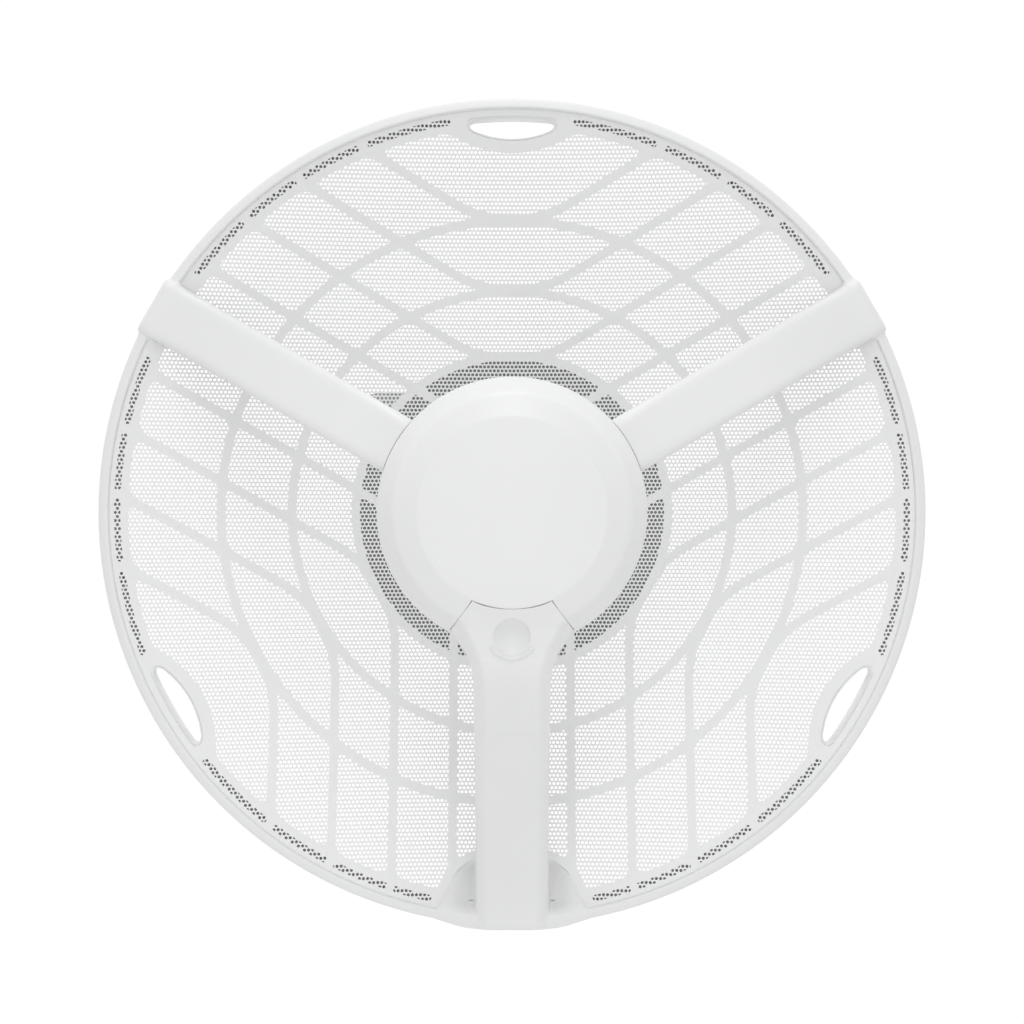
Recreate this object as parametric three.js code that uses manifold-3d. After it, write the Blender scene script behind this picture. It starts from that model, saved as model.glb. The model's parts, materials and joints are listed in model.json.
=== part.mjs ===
// Outdoor wireless bridge: a dish antenna whose radio sits in a hub on three arms, with a mast clamp
// behind it. Millimetres, +Z up. The dish looks along -Y. The origin is on the mast's axis, level with
// the dish's centre.
import * as THREE from "three";
import { mergeVertices } from "three/addons/utils/BufferGeometryUtils.js";
import Module from "manifold-3d";

const wasm = await Module();
wasm.setup();

// ---- Driving dimensions ----

const GAP = 0.3; // between pieces that touch
const ROUND = 60; // facets round everything on the dish's axis
const SMALL_ROUND = 16; // facets round bolts, bores and small turned pieces

const DISH = { x: 56.5, vertexY: -105, focal: 168, rim: 201.1, thickness: 1 };
const RING = { inner: 194, outer: 206.5, back: 44.2, front: 63, wall: 1.9 };
const SLOT = { r: 196.9, scoopR: 51.7, scoopCentre: 239, halfLength: 22, collar: 1.7 };
const UPPER_ANGLES = [150, 30];
const ARM = { wall: 2.4, root: 205, hubEnd: 62, rootDepth: 66, hubDepth: 160, end: 207.6 };
const LOWER = { end: 208.4, crest: 66, crestDepth: 184, bevel: 5, notch: 10 };
const FOOT = { outer: 208.2, inner: 184.5, thickness: 18, boreR: 6.5, boreDepth: 55.2 };
const HUB = {
  r: 62.6,
  back: 140,
  seam: 150,
  edge: 168,
  stepR: 54.5,
  step: 186,
  discR: 43.5,
  disc: 191.5,
  top: 194,
  wall: 2.4,
  floor: 2.6,
};
const WINDOW_R = 46; // opening in the hub's cup for the radome
const COVER = {
  top: 44,
  corner: 18.1,
  cornerZ: 40.1,
  flare: 28.1,
  flareZ: 53.7,
  end: 103,
  skirt: 14,
  wall: 2.2,
  ridge: 12.7,
  neckZ: 59,
};
const DIMPLE = { z: -57, r: 8.7, ballR: 14 };
const BOARD = { r: 53, depth: 171, thickness: 1.6, tongue: 15, screwR: 47 };
const JACK = { width: 16, height: 13.2, length: 21, depth: 164, z: -55, plugWidth: 11.8, plugHeight: 8 };
const RESET = { x: 11.5, z: -47, r: 1.55, travel: 0.8 };
const SINK = { r: 40, base: 173.2, foot: 2.8, finTop: 184, fin: 1.6, pitch: 7.5, reach: 38 };
const GPS = { width: 25, thickness: 4, depth: 186.5 };
const RF_MODULE = { width: 28, thickness: 3.8, depth: 168.6 };
const PLATE = { r: 82, back: -9, thickness: 4, screwR: 50, rib: 5 };
const LUG = { halfWidth: 9.5, r: 11, pivotBehind: 25 }; // the pivot's distance behind the dish's vertex

const MAST_R = 21.2;
const JAW = { z: 51, halfHeight: 13.5, face: 9, land: 26, ear: 38.5, earThickness: 12, boltX: 30.5 };
const SPINE = { left: -14, right: 18, front: -40, back: -27 };
const FORK = { y: -56, inner: 12.2, outer: 20, r: 14 };
const SWIVEL = { r: 13, bridge: 14, bridgeAhead: 5.6 };
const M8 = { r: 4, play: 0.35, head: 5.3, headR: 7.5, nut: 6.5, washerR: 8, washer: 1.6 };

// ---- Colours ----

const white = { color: 0xe9eaec, roughness: 0.5, metalness: 0 };
const painted = { color: 0xe4e5e7, roughness: 0.55, metalness: 0.1 };
const grey = { color: 0x8f9295, roughness: 0.5, metalness: 0.6 };
const steel = { color: 0xb9bcc0, roughness: 0.35, metalness: 0.9 };
const rubber = { color: 0x2b2c2e, roughness: 0.9, metalness: 0 };
const board = { color: 0x1f5a3a, roughness: 0.6, metalness: 0 };
const black = { color: 0x1c1d1f, roughness: 0.5, metalness: 0 };

// ---- Solids ----

function manifoldOf(vertProperties, corners) {
  const mesh = new wasm.Mesh({ numProp: 3, vertProperties, triVerts: new Uint32Array(corners) });
  return new wasm.Manifold(mesh);
}

function solidOf(geometry) {
  const bare = geometry.index ? geometry.toNonIndexed() : geometry.clone();
  bare.deleteAttribute("normal");
  bare.deleteAttribute("uv");
  const merged = mergeVertices(bare, 1e-3);
  const index = merged.index.array;
  const corners = [];
  for (let i = 0; i < index.length; i += 3) {
    const [a, b, c] = [index[i], index[i + 1], index[i + 2]];
    if (a !== b && b !== c && c !== a) corners.push(a, b, c);
  }
  const vertProperties = merged.attributes.position.array;
  const made = manifoldOf(vertProperties, corners);
  if (made.volume() > 0) return made;
  return manifoldOf(vertProperties, corners.reverse());
}

function geometryOf(solid) {
  const mesh = solid.getMesh();
  const geometry = new THREE.BufferGeometry();
  geometry.setAttribute("position", new THREE.BufferAttribute(mesh.vertProperties, 3));
  geometry.setIndex(new THREE.BufferAttribute(mesh.triVerts, 1));
  return geometry;
}

const joined = (solids) => solids.reduce((all, one) => all.add(one));
const without = (solid, cuts) => cuts.reduce((left, cut) => left.subtract(cut), solid);
const points = (pairs) => pairs.map(([x, y]) => new THREE.Vector2(x, y));

// A closed profile of [radius, depth] pairs turned round the dish's axis. Depth is forward of its vertex.
function revolve(profile, segments = ROUND) {
  const outline = points(profile.map(([r, depth]) => [r, -depth]));
  return solidOf(new THREE.LatheGeometry([...outline, outline[0]], segments));
}

// An outline of [x, z] pairs, carried from one depth to another.
function prism(outline, fromDepth, toDepth) {
  const shape = new THREE.Shape(points(outline));
  const geometry = new THREE.ExtrudeGeometry(shape, { depth: toDepth - fromDepth, bevelEnabled: false });
  return solidOf(geometry.rotateX(Math.PI / 2).translate(0, -fromDepth, 0));
}

// An outline of [x, y] pairs, carried from one height to another.
function slab(outline, fromZ, toZ) {
  const shape = new THREE.Shape(points(outline));
  const geometry = new THREE.ExtrudeGeometry(shape, { depth: toZ - fromZ, bevelEnabled: false });
  return solidOf(geometry.translate(0, 0, fromZ));
}

function block(width, length, height, x, y, z) {
  return solidOf(new THREE.BoxGeometry(width, length, height).translate(x, y, z));
}

// A round bar between two places on an axis. Hexagonal bars have six sides.
function bar(axis, r, from, to, at = [0, 0], sides = SMALL_ROUND) {
  const geometry = new THREE.CylinderGeometry(r, r, to - from, sides);
  geometry.translate(0, (from + to) / 2, 0);
  if (axis === "x") geometry.rotateZ(-Math.PI / 2).translate(0, at[0], at[1]);
  if (axis === "y") geometry.translate(at[0], 0, at[1]);
  if (axis === "z") geometry.rotateX(Math.PI / 2).translate(at[0], at[1], 0);
  return solidOf(geometry);
}

const turned = (solid, degrees) => solid.rotate([0, -degrees, 0]);
const mirrored = (pairs) => [...pairs, ...pairs.map(([x, z]) => [-x, z]).reverse()];

// The value at r of a short list of [r, value] pairs, straight between them.
function along(pairs, r) {
  const next = pairs.findIndex(([at]) => at >= r);
  if (next < 0) return pairs[pairs.length - 1][1];
  if (next === 0) return pairs[0][1];
  const [[r0, v0], [r1, v1]] = [pairs[next - 1], pairs[next]];
  return v0 + ((v1 - v0) * (r - r0)) / (r1 - r0);
}

// ---- The dish's curve and the arms' curves ----

const dishDepth = (r) => (r * r) / (4 * DISH.focal);

function dishCurve(toR, offset, steps = 7) {
  const curve = [];
  for (let i = 0; i <= steps; i += 1) {
    const r = (toR * i) / steps;
    curve.push([r, dishDepth(r) + offset]);
  }
  return curve;
}

const swell = (t) => t * t * (3 - 2 * t);
const share = (r, outer, inner) => Math.min(Math.max((outer - r) / (outer - inner), 0), 1);

function upperFront(r) {
  if (r > ARM.root) return along([[ARM.root, ARM.rootDepth], [206.8, 65.2], [ARM.end, 62.5]], r);
  return ARM.rootDepth + (ARM.hubDepth - ARM.rootDepth) * swell(share(r, ARM.root, ARM.hubEnd) ** 1.15);
}

function lowerFront(r) {
  if (r > ARM.root) return along([[ARM.root, ARM.rootDepth], [207.4, 65.2], [LOWER.end, 63]], r);
  if (r < HUB.stepR) return along([[0, HUB.top], [HUB.discR, HUB.disc], [HUB.stepR, HUB.step]], r);
  if (r < LOWER.crest) return along([[HUB.stepR, HUB.step], [LOWER.crest, LOWER.crestDepth]], r);
  return ARM.rootDepth + (LOWER.crestDepth - ARM.rootDepth) * swell(share(r, ARM.root, LOWER.crest) ** 1.05);
}

// The arms' back face lies behind the upper arms' front, further towards the hub, and clear of the sheet.
function armBack(r) {
  if (r > 202.5) return RING.back + 2;
  const behind = upperFront(Math.max(r, ARM.hubEnd)) - 14 - 6 * share(r, ARM.root, ARM.hubEnd);
  return Math.max(behind, dishDepth(r) + 0.6);
}

const upperHalfWidth = (r) => along([[ARM.hubEnd, 13.6], [ARM.root, 14.5]], r);
const lowerWidths = [
  [COVER.cornerZ, COVER.corner],
  [COVER.flareZ, COVER.flare],
  [58, 23.6],
  [63, 20.4],
  [67, 18.4],
  [71.5, 17.6],
  [150, 17.9],
  [200, 18.5],
  [LOWER.end, 16.8],
];
const lowerHalfWidth = (r) => along(lowerWidths, r);

// A closed bar along a radius, bevelled at the front: each station sets its width and its two depths.
function armBar(stations, halfWidth, front, back, bevel) {
  const section = mirrored([[10, 0], [10, 1], [9, 2], [8, 3]]);
  const shape = new THREE.Shape(points(section));
  const spans = stations.length - 1;
  const geometry = new THREE.ExtrudeGeometry(shape, { depth: spans, steps: spans, bevelEnabled: false });
  const place = geometry.attributes.position;
  for (let i = 0; i < place.count; i += 1) {
    const r = stations[Math.round(place.getZ(i))];
    const side = Math.sign(place.getX(i));
    const level = Math.round(place.getY(i));
    const inset = [0, 0, 0.3 * bevel, bevel][level];
    const drop = [0, bevel, 0.3 * bevel, 0][level];
    const depth = level === 0 ? back(r) : Math.max(front(r) - drop, back(r) + 0.5);
    place.setXYZ(i, r, -depth, side * (halfWidth(r) - inset));
  }
  return solidOf(geometry);
}

function stationsBetween(from, to, step) {
  const count = Math.ceil((to - from) / step);
  return Array.from({ length: count + 1 }, (_, i) => from + ((to - from) * i) / count);
}

// Places round the dish's axis, as [x, z] pairs, one at each angle.
function placesAt(r, angles) {
  return angles.map((angle) => {
    const turn = (angle * Math.PI) / 180;
    return [r * Math.cos(turn), r * Math.sin(turn)];
  });
}

const plateScrewPlaces = placesAt(PLATE.screwR, [45, 135, 225, 315]);
const boardScrewPlaces = placesAt(BOARD.screwR, [90, 195, 345]);

// ---- Shared cutting solids ----

// The sheet with its clearance, cut out of everything that touches it.
const sheetClearance = revolve([
  ...dishCurve(DISH.rim + GAP, GAP),
  ...dishCurve(DISH.rim + GAP, -DISH.thickness - GAP).reverse(),
]);
const behindSheet = revolve([...dishCurve(RING.inner, 0), [RING.inner, 20], [0, -20]]);
const underSheet = revolve([...dishCurve(DISH.rim, -DISH.thickness - GAP), [DISH.rim, 20], [0, -20]]);

// The three D-shaped slots between the arms: curved along the rim and scooped towards the hub.
function slotOutline(grow) {
  const rimR = SLOT.r + grow;
  const scoopR = SLOT.scoopR + grow;
  const half = Math.asin((SLOT.halfLength + grow) / rimR);
  const scoopHalf = Math.asin((SLOT.halfLength + grow) / scoopR);
  const outline = [];
  const steps = 8;
  for (let i = 0; i <= steps; i += 1) {
    const turn = half * (1 - (2 * i) / steps);
    outline.push([rimR * Math.sin(turn), rimR * Math.cos(turn)]);
  }
  for (let i = 0; i <= steps; i += 1) {
    const turn = scoopHalf * ((2 * i) / steps - 1);
    outline.push([scoopR * Math.sin(turn), SLOT.scoopCentre - scoopR * Math.cos(turn)]);
  }
  return outline;
}

const slotTurns = [0, 120, 240];
const slotCuts = slotTurns.map((turn) => turned(prism(slotOutline(0), 30, 80), turn));

// The lower sector of the hub that belongs to the port cover.
function coverSector(grow) {
  const half = Math.atan2(COVER.corner + 1.5 * grow, COVER.cornerZ);
  const r = COVER.top - grow;
  const arc = [];
  const steps = 8;
  for (let i = 0; i <= steps; i += 1) {
    const turn = half * (1 - (2 * i) / steps);
    arc.push([r * Math.sin(turn), -r * Math.cos(turn)]);
  }
  const flare = COVER.flare + grow;
  return [...arc, [-flare, -COVER.flareZ], [-flare, -76], [flare, -76], [flare, -COVER.flareZ]];
}

// ---- Antenna pieces, in a frame at the dish's vertex ----

function makeReflector() {
  const sheet = revolve([...dishCurve(DISH.rim, 0), ...dishCurve(DISH.rim, -DISH.thickness).reverse()]);
  const cableNotch = block(2 * LOWER.notch, 60, 26, 0, -50, -(FOOT.inner - 0.5) - 13);
  const screwHoles = plateScrewPlaces.map((place) => bar("y", 2.1, -20, 10, place, 12));
  return without(sheet, [...slotCuts, cableNotch, ...screwHoles]);
}

function makeRing() {
  const { inner, outer, back, front, wall } = RING;
  const seat = DISH.rim + GAP;
  return revolve([
    [inner, 57],
    [inner + wall, 57],
    [inner + wall, back + wall],
    [outer - wall - 0.6, back + wall],
    [199.8, 56.4],
    [199.8, 60],
    [seat, 60],
    [seat + 0.6, front],
    [outer - 1.9, front],
    [outer, front - 2.2],
    [outer, back],
    [inner, back],
  ]);
}

function makeUpperArm(angle) {
  const ends = [203, ARM.root, 206.8, ARM.end];
  const stations = [...stationsBetween(61, 201, 10), ...ends];
  const outer = armBar(stations, upperHalfWidth, upperFront, armBack, 3);
  const trough = armBar(
    stationsBetween(72, 186, 12),
    (r) => upperHalfWidth(r) - ARM.wall,
    (r) => upperFront(r) - ARM.wall,
    (r) => armBack(r) - 8,
    2,
  );
  return turned(outer.subtract(trough), angle);
}

// Where the port cover's skirt ends, and the arm's own walls begin.
const coverFloor = (r) => (r < 64 ? HUB.seam - 0.1 : lowerFront(r) - COVER.skirt - 3 * GAP);

// The lower arm is hollow. Its trough opens at the back for the cable, and in front under the port cover.
function makeLowerArm() {
  const ends = [203, ARM.root, 207.4, LOWER.end];
  const neck = [46, 50, COVER.flareZ, 58, 63, 67];
  const stations = [...neck, ...stationsBetween(71.5, 201, 10), ...ends];
  return turned(armBar(stations, lowerHalfWidth, lowerFront, armBack, LOWER.bevel), -90);
}

function makeLowerTrough() {
  const insideWidth = (r) => lowerHalfWidth(r) - ARM.wall;
  const neck = [40, 46, COVER.flareZ, 58, 63, 67];
  const through = armBar(
    stationsBetween(71.5, 186, 12),
    insideWidth,
    (r) => lowerFront(r) - ARM.wall,
    (r) => armBack(r) - 8,
    LOWER.bevel - 1,
  );
  const cupFloor = HUB.back + HUB.floor;
  const compartment = armBar([...neck, 71.5, 80], insideWidth, () => 200, () => cupFloor, 1);
  const mouthStations = [...neck, ...stationsBetween(71.5, COVER.end + GAP, 7)];
  const mouth = armBar(mouthStations, () => 40, () => 210, coverFloor, 1);
  return turned(joined([through, compartment, mouth]), -90);
}

function makeFoot() {
  const outline = mirrored([
    [16.8, -LOWER.end],
    [24, -207.5],
    [32, -205],
    [40, -202.4],
    [37.9, -197.5],
    [34.7, -193],
    [32.5, -188],
    [28.3, -180.5],
    [24, -177],
    [19, -174],
  ]);
  const wings = dishCurve(DISH.rim, 3).slice(5);
  const overSheet = revolve([...wings, [209, RING.front - 1.4], [209, 40], [140, 20]]);
  return prism(outline, RING.back + 1.4, 70).intersect(overSheet).subtract(behindSheet);
}

function makeHubCup() {
  const inner = HUB.r - HUB.wall;
  const chamfer = 1.2;
  return revolve([
    [HUB.r, HUB.back + chamfer],
    [HUB.r, HUB.seam],
    [inner, HUB.seam],
    [inner, HUB.back + HUB.floor],
    [WINDOW_R + GAP, HUB.back + HUB.floor],
    [WINDOW_R + GAP, HUB.back],
    [HUB.r - chamfer, HUB.back],
  ]);
}

// A plain disc about the dish's axis, from one depth to another.
const discSpace = (r, from, to) => revolve([[0, from], [r, from], [r, to], [0, to]]);

// The block behind the sheet that the cable's bore goes through.
function makeFootBlock() {
  const width = 2 * (LOWER.notch - GAP - 0.2);
  const middle = RING.back + FOOT.thickness / 2 + 2;
  return block(width, FOOT.thickness, FOOT.outer - FOOT.inner, 0, -middle, -(FOOT.outer + FOOT.inner) / 2);
}

function makeFrontFrame() {
  const collar = prism(slotOutline(SLOT.collar), RING.back, 60).intersect(underSheet);
  const collars = slotTurns.map((turn) => turned(collar, turn));
  const hubSpace = discSpace(HUB.r + GAP, HUB.seam + GAP, 200);
  const cupSpace = discSpace(HUB.r - HUB.wall, HUB.back + HUB.floor, 200);
  const upper = UPPER_ANGLES.map((angle) => without(makeUpperArm(angle), [cupSpace, hubSpace]));
  const lower = makeLowerArm().subtract(makeLowerTrough());
  const shell = joined([makeRing(), ...collars, makeFoot(), ...upper, lower, makeHubCup()]);
  const bore = bar("z", FOOT.boreR, -220, -178, [0, -FOOT.boreDepth]);
  const rearBore = block(2 * FOOT.boreR, 12, 10, 0, -(FOOT.boreDepth + 6.8), -183);
  const window = bar("y", WINDOW_R + GAP, -HUB.back - 4, -HUB.back + 4, [0, 0], ROUND);
  const compartmentDoor = block(30, 30, 26, 0, -(HUB.back + 17.6), -58);
  const body = without(shell, [sheetClearance, ...slotCuts]).add(makeFootBlock());
  return without(body, [bore, rearBore, window, compartmentDoor]);
}

function makeLowerArmBackCover() {
  const plate = armBar(
    stationsBetween(82, 182, 12.5),
    (r) => lowerHalfWidth(r) - ARM.wall - GAP,
    (r) => armBack(r) + 2,
    armBack,
    0.4,
  );
  return turned(plate, -90);
}

const hubOutside = [
  [HUB.r, HUB.edge],
  [HUB.stepR, HUB.step],
  [HUB.discR, HUB.disc],
  [HUB.discR / 2, HUB.top - 0.6],
  [0, HUB.top],
];
const hubInside = hubOutside.map(([r, depth]) => [Math.max(r - 0.75 * HUB.wall, 0), depth - HUB.wall]);
const sectorSpace = prism(coverSector(GAP), 120, 210);

function makeHubFrontCover() {
  const rim = HUB.seam + 1.4;
  const inner = HUB.r - HUB.wall;
  const inside = [...hubInside.slice(1).reverse(), [inner, HUB.edge - 1], [inner, rim]];
  return revolve([[HUB.r, rim], ...hubOutside, ...inside]).subtract(sectorSpace);
}

function makeHubGasket() {
  const [inner, outer] = [HUB.r - 3.7, HUB.r - 0.7];
  const [low, high] = [HUB.seam + GAP, HUB.seam + 1.1];
  return revolve([[inner, low], [outer, low], [outer, high], [inner, high]]).subtract(sectorSpace);
}

function makeHubRearRadome() {
  return revolve([
    [0, 133],
    [30, 134.6],
    [52, HUB.back - 1.6],
    [52, HUB.back - GAP],
    [WINDOW_R, HUB.back - GAP],
    [WINDOW_R, HUB.back + HUB.floor],
    [WINDOW_R - 2, HUB.back + HUB.floor],
    [30, 136.4],
    [0, 134.8],
  ]);
}

// The port cover follows the hub's steps at its sides, and a ridge carries the arm's top across them.
function coverShape(inset) {
  const hubShape = revolve([[0, 120], [HUB.r - inset, 120], ...(inset > 0 ? hubInside : hubOutside)]);
  const ridge = block(2 * (COVER.ridge - inset), 120, 30, 0, -150, -COVER.top - 13);
  const arm = block(80, 120, 60, 0, -150, -COVER.neckZ - 30);
  return joined([hubShape, ridge, arm]);
}

function makePortCover() {
  const neck = [38, COVER.cornerZ, 46, 50, COVER.flareZ, 58, 62.7, 62.9, 67];
  const stations = [...neck, ...stationsBetween(71.5, COVER.end, 6.6)];
  const floor = (r) => (r < 62.8 ? HUB.seam + 1.4 : lowerFront(r) - COVER.skirt);
  const outer = turned(armBar(stations, lowerHalfWidth, lowerFront, floor, LOWER.bevel), -90);
  const hollow = turned(
    armBar(
      [30, ...stations.slice(0, -1), COVER.end - COVER.wall],
      (r) => lowerHalfWidth(r) - COVER.wall,
      (r) => lowerFront(r) - COVER.wall,
      (r) => floor(r) - 4,
      LOWER.bevel - 1,
    ),
    -90,
  );
  const sunk = DIMPLE.ballR - Math.sqrt(DIMPLE.ballR ** 2 - DIMPLE.r ** 2);
  const ballDepth = lowerFront(-DIMPLE.z) + DIMPLE.ballR - sunk;
  const ball = (r) => solidOf(new THREE.SphereGeometry(r, 16, 12).translate(0, -ballDepth, DIMPLE.z));
  const disc = bar("y", COVER.top, -210, -120, [0, 0], ROUND);
  const inside = hollow.intersect(coverShape(HUB.wall)).subtract(ball(DIMPLE.ballR + COVER.wall));
  return without(outer.intersect(coverShape(0)), [inside, ball(DIMPLE.ballR), disc]);
}

function makePortSeal() {
  const z = COVER.end - COVER.wall - 5;
  return block(20, 3, 8, 0, -(lowerFront(z) - 9), -z);
}

function makeRadioBoard() {
  const disc = bar("y", BOARD.r, -BOARD.depth - BOARD.thickness, -BOARD.depth, [0, 0], 48);
  const sides = [-(BOARD.tongue + 20), BOARD.tongue + 20];
  const besideTongue = sides.map((x) => block(40, 10, 40, x, -BOARD.depth, -54));
  const screwHoles = boardScrewPlaces.map((place) => bar("y", 1.8, -180, -160, place, 12));
  return without(disc, [...besideTongue, ...screwHoles]);
}

// A pan-head screw along the dish's axis: head at one depth, tip at another.
function makeScrew([x, z], headDepth, tipDepth, shankR, headR) {
  const towards = Math.sign(tipDepth - headDepth);
  const headEnd = headDepth + 1.8 * towards;
  const span = (a, b) => [Math.min(-a, -b), Math.max(-a, -b)];
  const head = bar("y", headR, ...span(headDepth, headEnd), [x, z], 16);
  const shank = bar("y", shankR, ...span(headEnd - 0.4 * towards, tipDepth), [x, z], 12);
  const recess = bar("y", headR * 0.45, ...span(headDepth - 1, headDepth + 1 * towards), [x, z], 6);
  return head.add(shank).subtract(recess);
}

function makeHeatSink() {
  const { r, base, foot, finTop, fin, pitch, reach } = SINK;
  const plate = revolve([[0, base], [r, base], [r, base + foot], [0, base + foot]], 48);
  const finFoot = base + foot - 0.4;
  const fins = [];
  for (let i = -4; i <= 4; i += 1) {
    const length = 2 * Math.sqrt(reach ** 2 - (i * pitch) ** 2);
    fins.push(block(fin, finTop - finFoot, length, i * pitch, -(finTop + finFoot) / 2, 0));
  }
  return joined([plate, ...fins]);
}

function makeTile({ width, thickness, depth }) {
  return block(width, thickness, width, 0, -depth, 0);
}

function makeFeedHorn() {
  return revolve([[5, 166], [6.4, 166], [17.4, 150], [16, 150]], SMALL_ROUND);
}

function makeEthernetJack() {
  const body = block(JACK.width, JACK.height, JACK.length, 0, -JACK.depth, JACK.z);
  const socketZ = JACK.z - 5.6;
  const socket = block(JACK.plugWidth, JACK.plugHeight, 16, 0, -(JACK.depth - 0.4), socketZ);
  const latch = block(4, 3, 16, 0, -(JACK.depth + 4.6), socketZ);
  return without(body, [socket, latch]);
}

const boardFront = BOARD.depth + BOARD.thickness;

function makeResetSwitch() {
  const base = boardFront + GAP;
  const body = block(5, 3.2, 6, RESET.x, -(base + 1.6), RESET.z);
  return body.subtract(bar("y", RESET.r + 0.35, -(base + 4), -(base + 1), [RESET.x, RESET.z]));
}

function makeResetButton() {
  const base = boardFront + 2 * GAP + 1 + RESET.travel;
  return bar("y", RESET.r, -(base + 4), -base, [RESET.x, RESET.z]);
}

function makeCableGrommet() {
  const at = [0, -FOOT.boreDepth];
  const sleeve = bar("z", FOOT.boreR - GAP, -LOWER.end + 0.4, -LOWER.end + 8, at);
  return sleeve.subtract(bar("z", FOOT.boreR / 2, -LOWER.end - 1, -LOWER.end + 9, at));
}

// The rear plate lies against the sheet's back, and its lug carries the elevation pivot.
function makeRearPlate() {
  const front = dishCurve(PLATE.r, -DISH.thickness - 2 * GAP, 3);
  const rimDepth = dishDepth(PLATE.r) - DISH.thickness - GAP - PLATE.thickness;
  const rear = [[PLATE.r, rimDepth], [70, rimDepth - 2], [40, PLATE.back], [0, PLATE.back]];
  const dish = revolve([...front, ...rear]);
  const pivotY = LUG.pivotBehind;
  const neck = block(2 * LUG.halfWidth, pivotY + 4, 2 * LUG.r, 0, (pivotY + 4) / 2, 0);
  const knuckle = bar("x", LUG.r, -LUG.halfWidth, LUG.halfWidth, [pivotY, 0]);
  const lug = joined([neck.subtract(block(40, 20, 40, 0, pivotY + 10, 0)), knuckle]);
  const trimmed = lug.subtract(block(60, 20, 60, 0, -6, 0));
  const bolt = bar("x", M8.r + M8.play, -20, 20, [pivotY, 0]);
  const ribs = [45, 135, 225, 315].map((angle) => turned(block(34, PLATE.rib, 3, 27, 9, 0), angle));
  const pilots = plateScrewPlaces.map((place) => bar("y", 2, -30, 30, place, 12));
  return without(joined([dish, trimmed, ...ribs]), [bolt, ...pilots]);
}

// ---- Mast clamp pieces, in the row's own frame ----

function jawOutline(side, back) {
  const mouth = Math.SQRT2 * (MAST_R + GAP) - JAW.face;
  const foot = Math.SQRT2 * (MAST_R + GAP) - JAW.land;
  const ear = JAW.face + JAW.earThickness;
  const right = [
    [foot, JAW.land],
    [mouth, JAW.face],
    [JAW.ear, JAW.face],
    [JAW.ear, ear],
    [JAW.boltX - 9, ear],
    [JAW.boltX - 13, back],
  ];
  const outline = [...right, ...right.map(([x, y]) => [-x, y]).reverse()];
  return outline.map(([x, y]) => [x, side * y]);
}

const jawSlab = (side, back) => slab(jawOutline(side, back), JAW.z - JAW.halfHeight, JAW.z + JAW.halfHeight);

function jawBores(from, to) {
  return [-1, 1].map((side) => bar("y", M8.r + M8.play, from, to, [side * JAW.boltX, JAW.z]));
}

// The front jaw grips the mast above the dish's centre. Its spine comes down to the fork: two plates that
// reach sideways to the azimuth bolt.
function makeFrontJaw() {
  const at = [DISH.x, FORK.y];
  const { left, right, front, back } = SPINE;
  const spineOutline = [[left, front], [right, front], [right, back], [left, back]];
  const spine = slab(spineOutline, -FORK.outer, JAW.z);
  const forkEnd = [[DISH.x + 4, FORK.y + 13.4], [DISH.x - 6, FORK.y - 12.6]];
  const forkOutline = [[left + 4, front], [right, back], ...forkEnd];
  const spans = [[FORK.inner, FORK.outer], [-FORK.outer, -FORK.inner]];
  const plates = spans.map(([from, to]) => slab(forkOutline, from, to).add(bar("z", FORK.r, from, to, at)));
  const bore = bar("z", M8.r + M8.play, -40, 40, at);
  return without(joined([jawSlab(-1, 40), spine, ...plates]), [bore, ...jawBores(-30, 0)]);
}

const makeRearJaw = () => without(jawSlab(1, 34), jawBores(0, 40));

// A hexagon bolt whose head ends at headAt and whose thread ends at tip, along one axis.
function makeBolt(axis, headAt, tip, at) {
  const towards = Math.sign(tip - headAt);
  const span = (a, b) => [Math.min(a, b), Math.max(a, b)];
  const head = bar(axis, M8.headR, ...span(headAt - M8.head * towards, headAt), at, 6);
  return head.add(bar(axis, M8.r, ...span(headAt - 0.5 * towards, tip), at));
}

function makeNut(axis, from, at) {
  const nut = bar(axis, M8.headR, from, from + M8.nut, at, 6);
  return nut.subtract(bar(axis, M8.r + GAP, from - 1, from + M8.nut + 1, at));
}

function makeWasher(axis, from, at) {
  const disc = bar(axis, M8.washerR, from, from + M8.washer, at);
  return disc.subtract(bar(axis, M8.r + M8.play, from - 1, from + 3, at));
}

// The swivel block turns on the azimuth bolt and holds the rear plate's lug between two ears.
const PIVOT_Y = DISH.vertexY + LUG.pivotBehind;
const EAR = { inner: LUG.halfWidth + GAP, outer: LUG.halfWidth + GAP + 6, r: 11.6 };

function makeSwivelBlock() {
  const height = FORK.inner - GAP;
  const hub = bar("z", SWIVEL.r, -height, height, [DISH.x, FORK.y]);
  const bridge = block(2 * EAR.outer, SWIVEL.bridge, 2 * EAR.r, DISH.x, FORK.y - SWIVEL.bridgeAhead, 0);
  const length = FORK.y - 8 - PIVOT_Y;
  const ears = [[EAR.inner, EAR.outer], [-EAR.outer, -EAR.inner]].map(([from, to]) => {
    const round = bar("x", EAR.r, DISH.x + from, DISH.x + to, [PIVOT_Y, 0]);
    const middle = DISH.x + (from + to) / 2;
    return round.add(block(to - from, length, 2 * EAR.r, middle, PIVOT_Y + length / 2, 0));
  });
  const azimuthBore = bar("z", M8.r + M8.play, -30, 30, [DISH.x, FORK.y]);
  const elevationBore = bar("x", M8.r + M8.play, DISH.x - 30, DISH.x + 30, [PIVOT_Y, 0]);
  return without(joined([hub, bridge, ...ears]), [azimuthBore, elevationBore]);
}

// ---- The assembly ----

const bridge = new THREE.Group();
const antenna = new THREE.Group();
antenna.position.set(DISH.x, DISH.vertexY, 0);
bridge.add(antenna);

function put(group, name, finish, solid) {
  const mesh = new THREE.Mesh(geometryOf(solid), new THREE.MeshStandardMaterial(finish));
  mesh.name = name;
  group.add(mesh);
}

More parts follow.
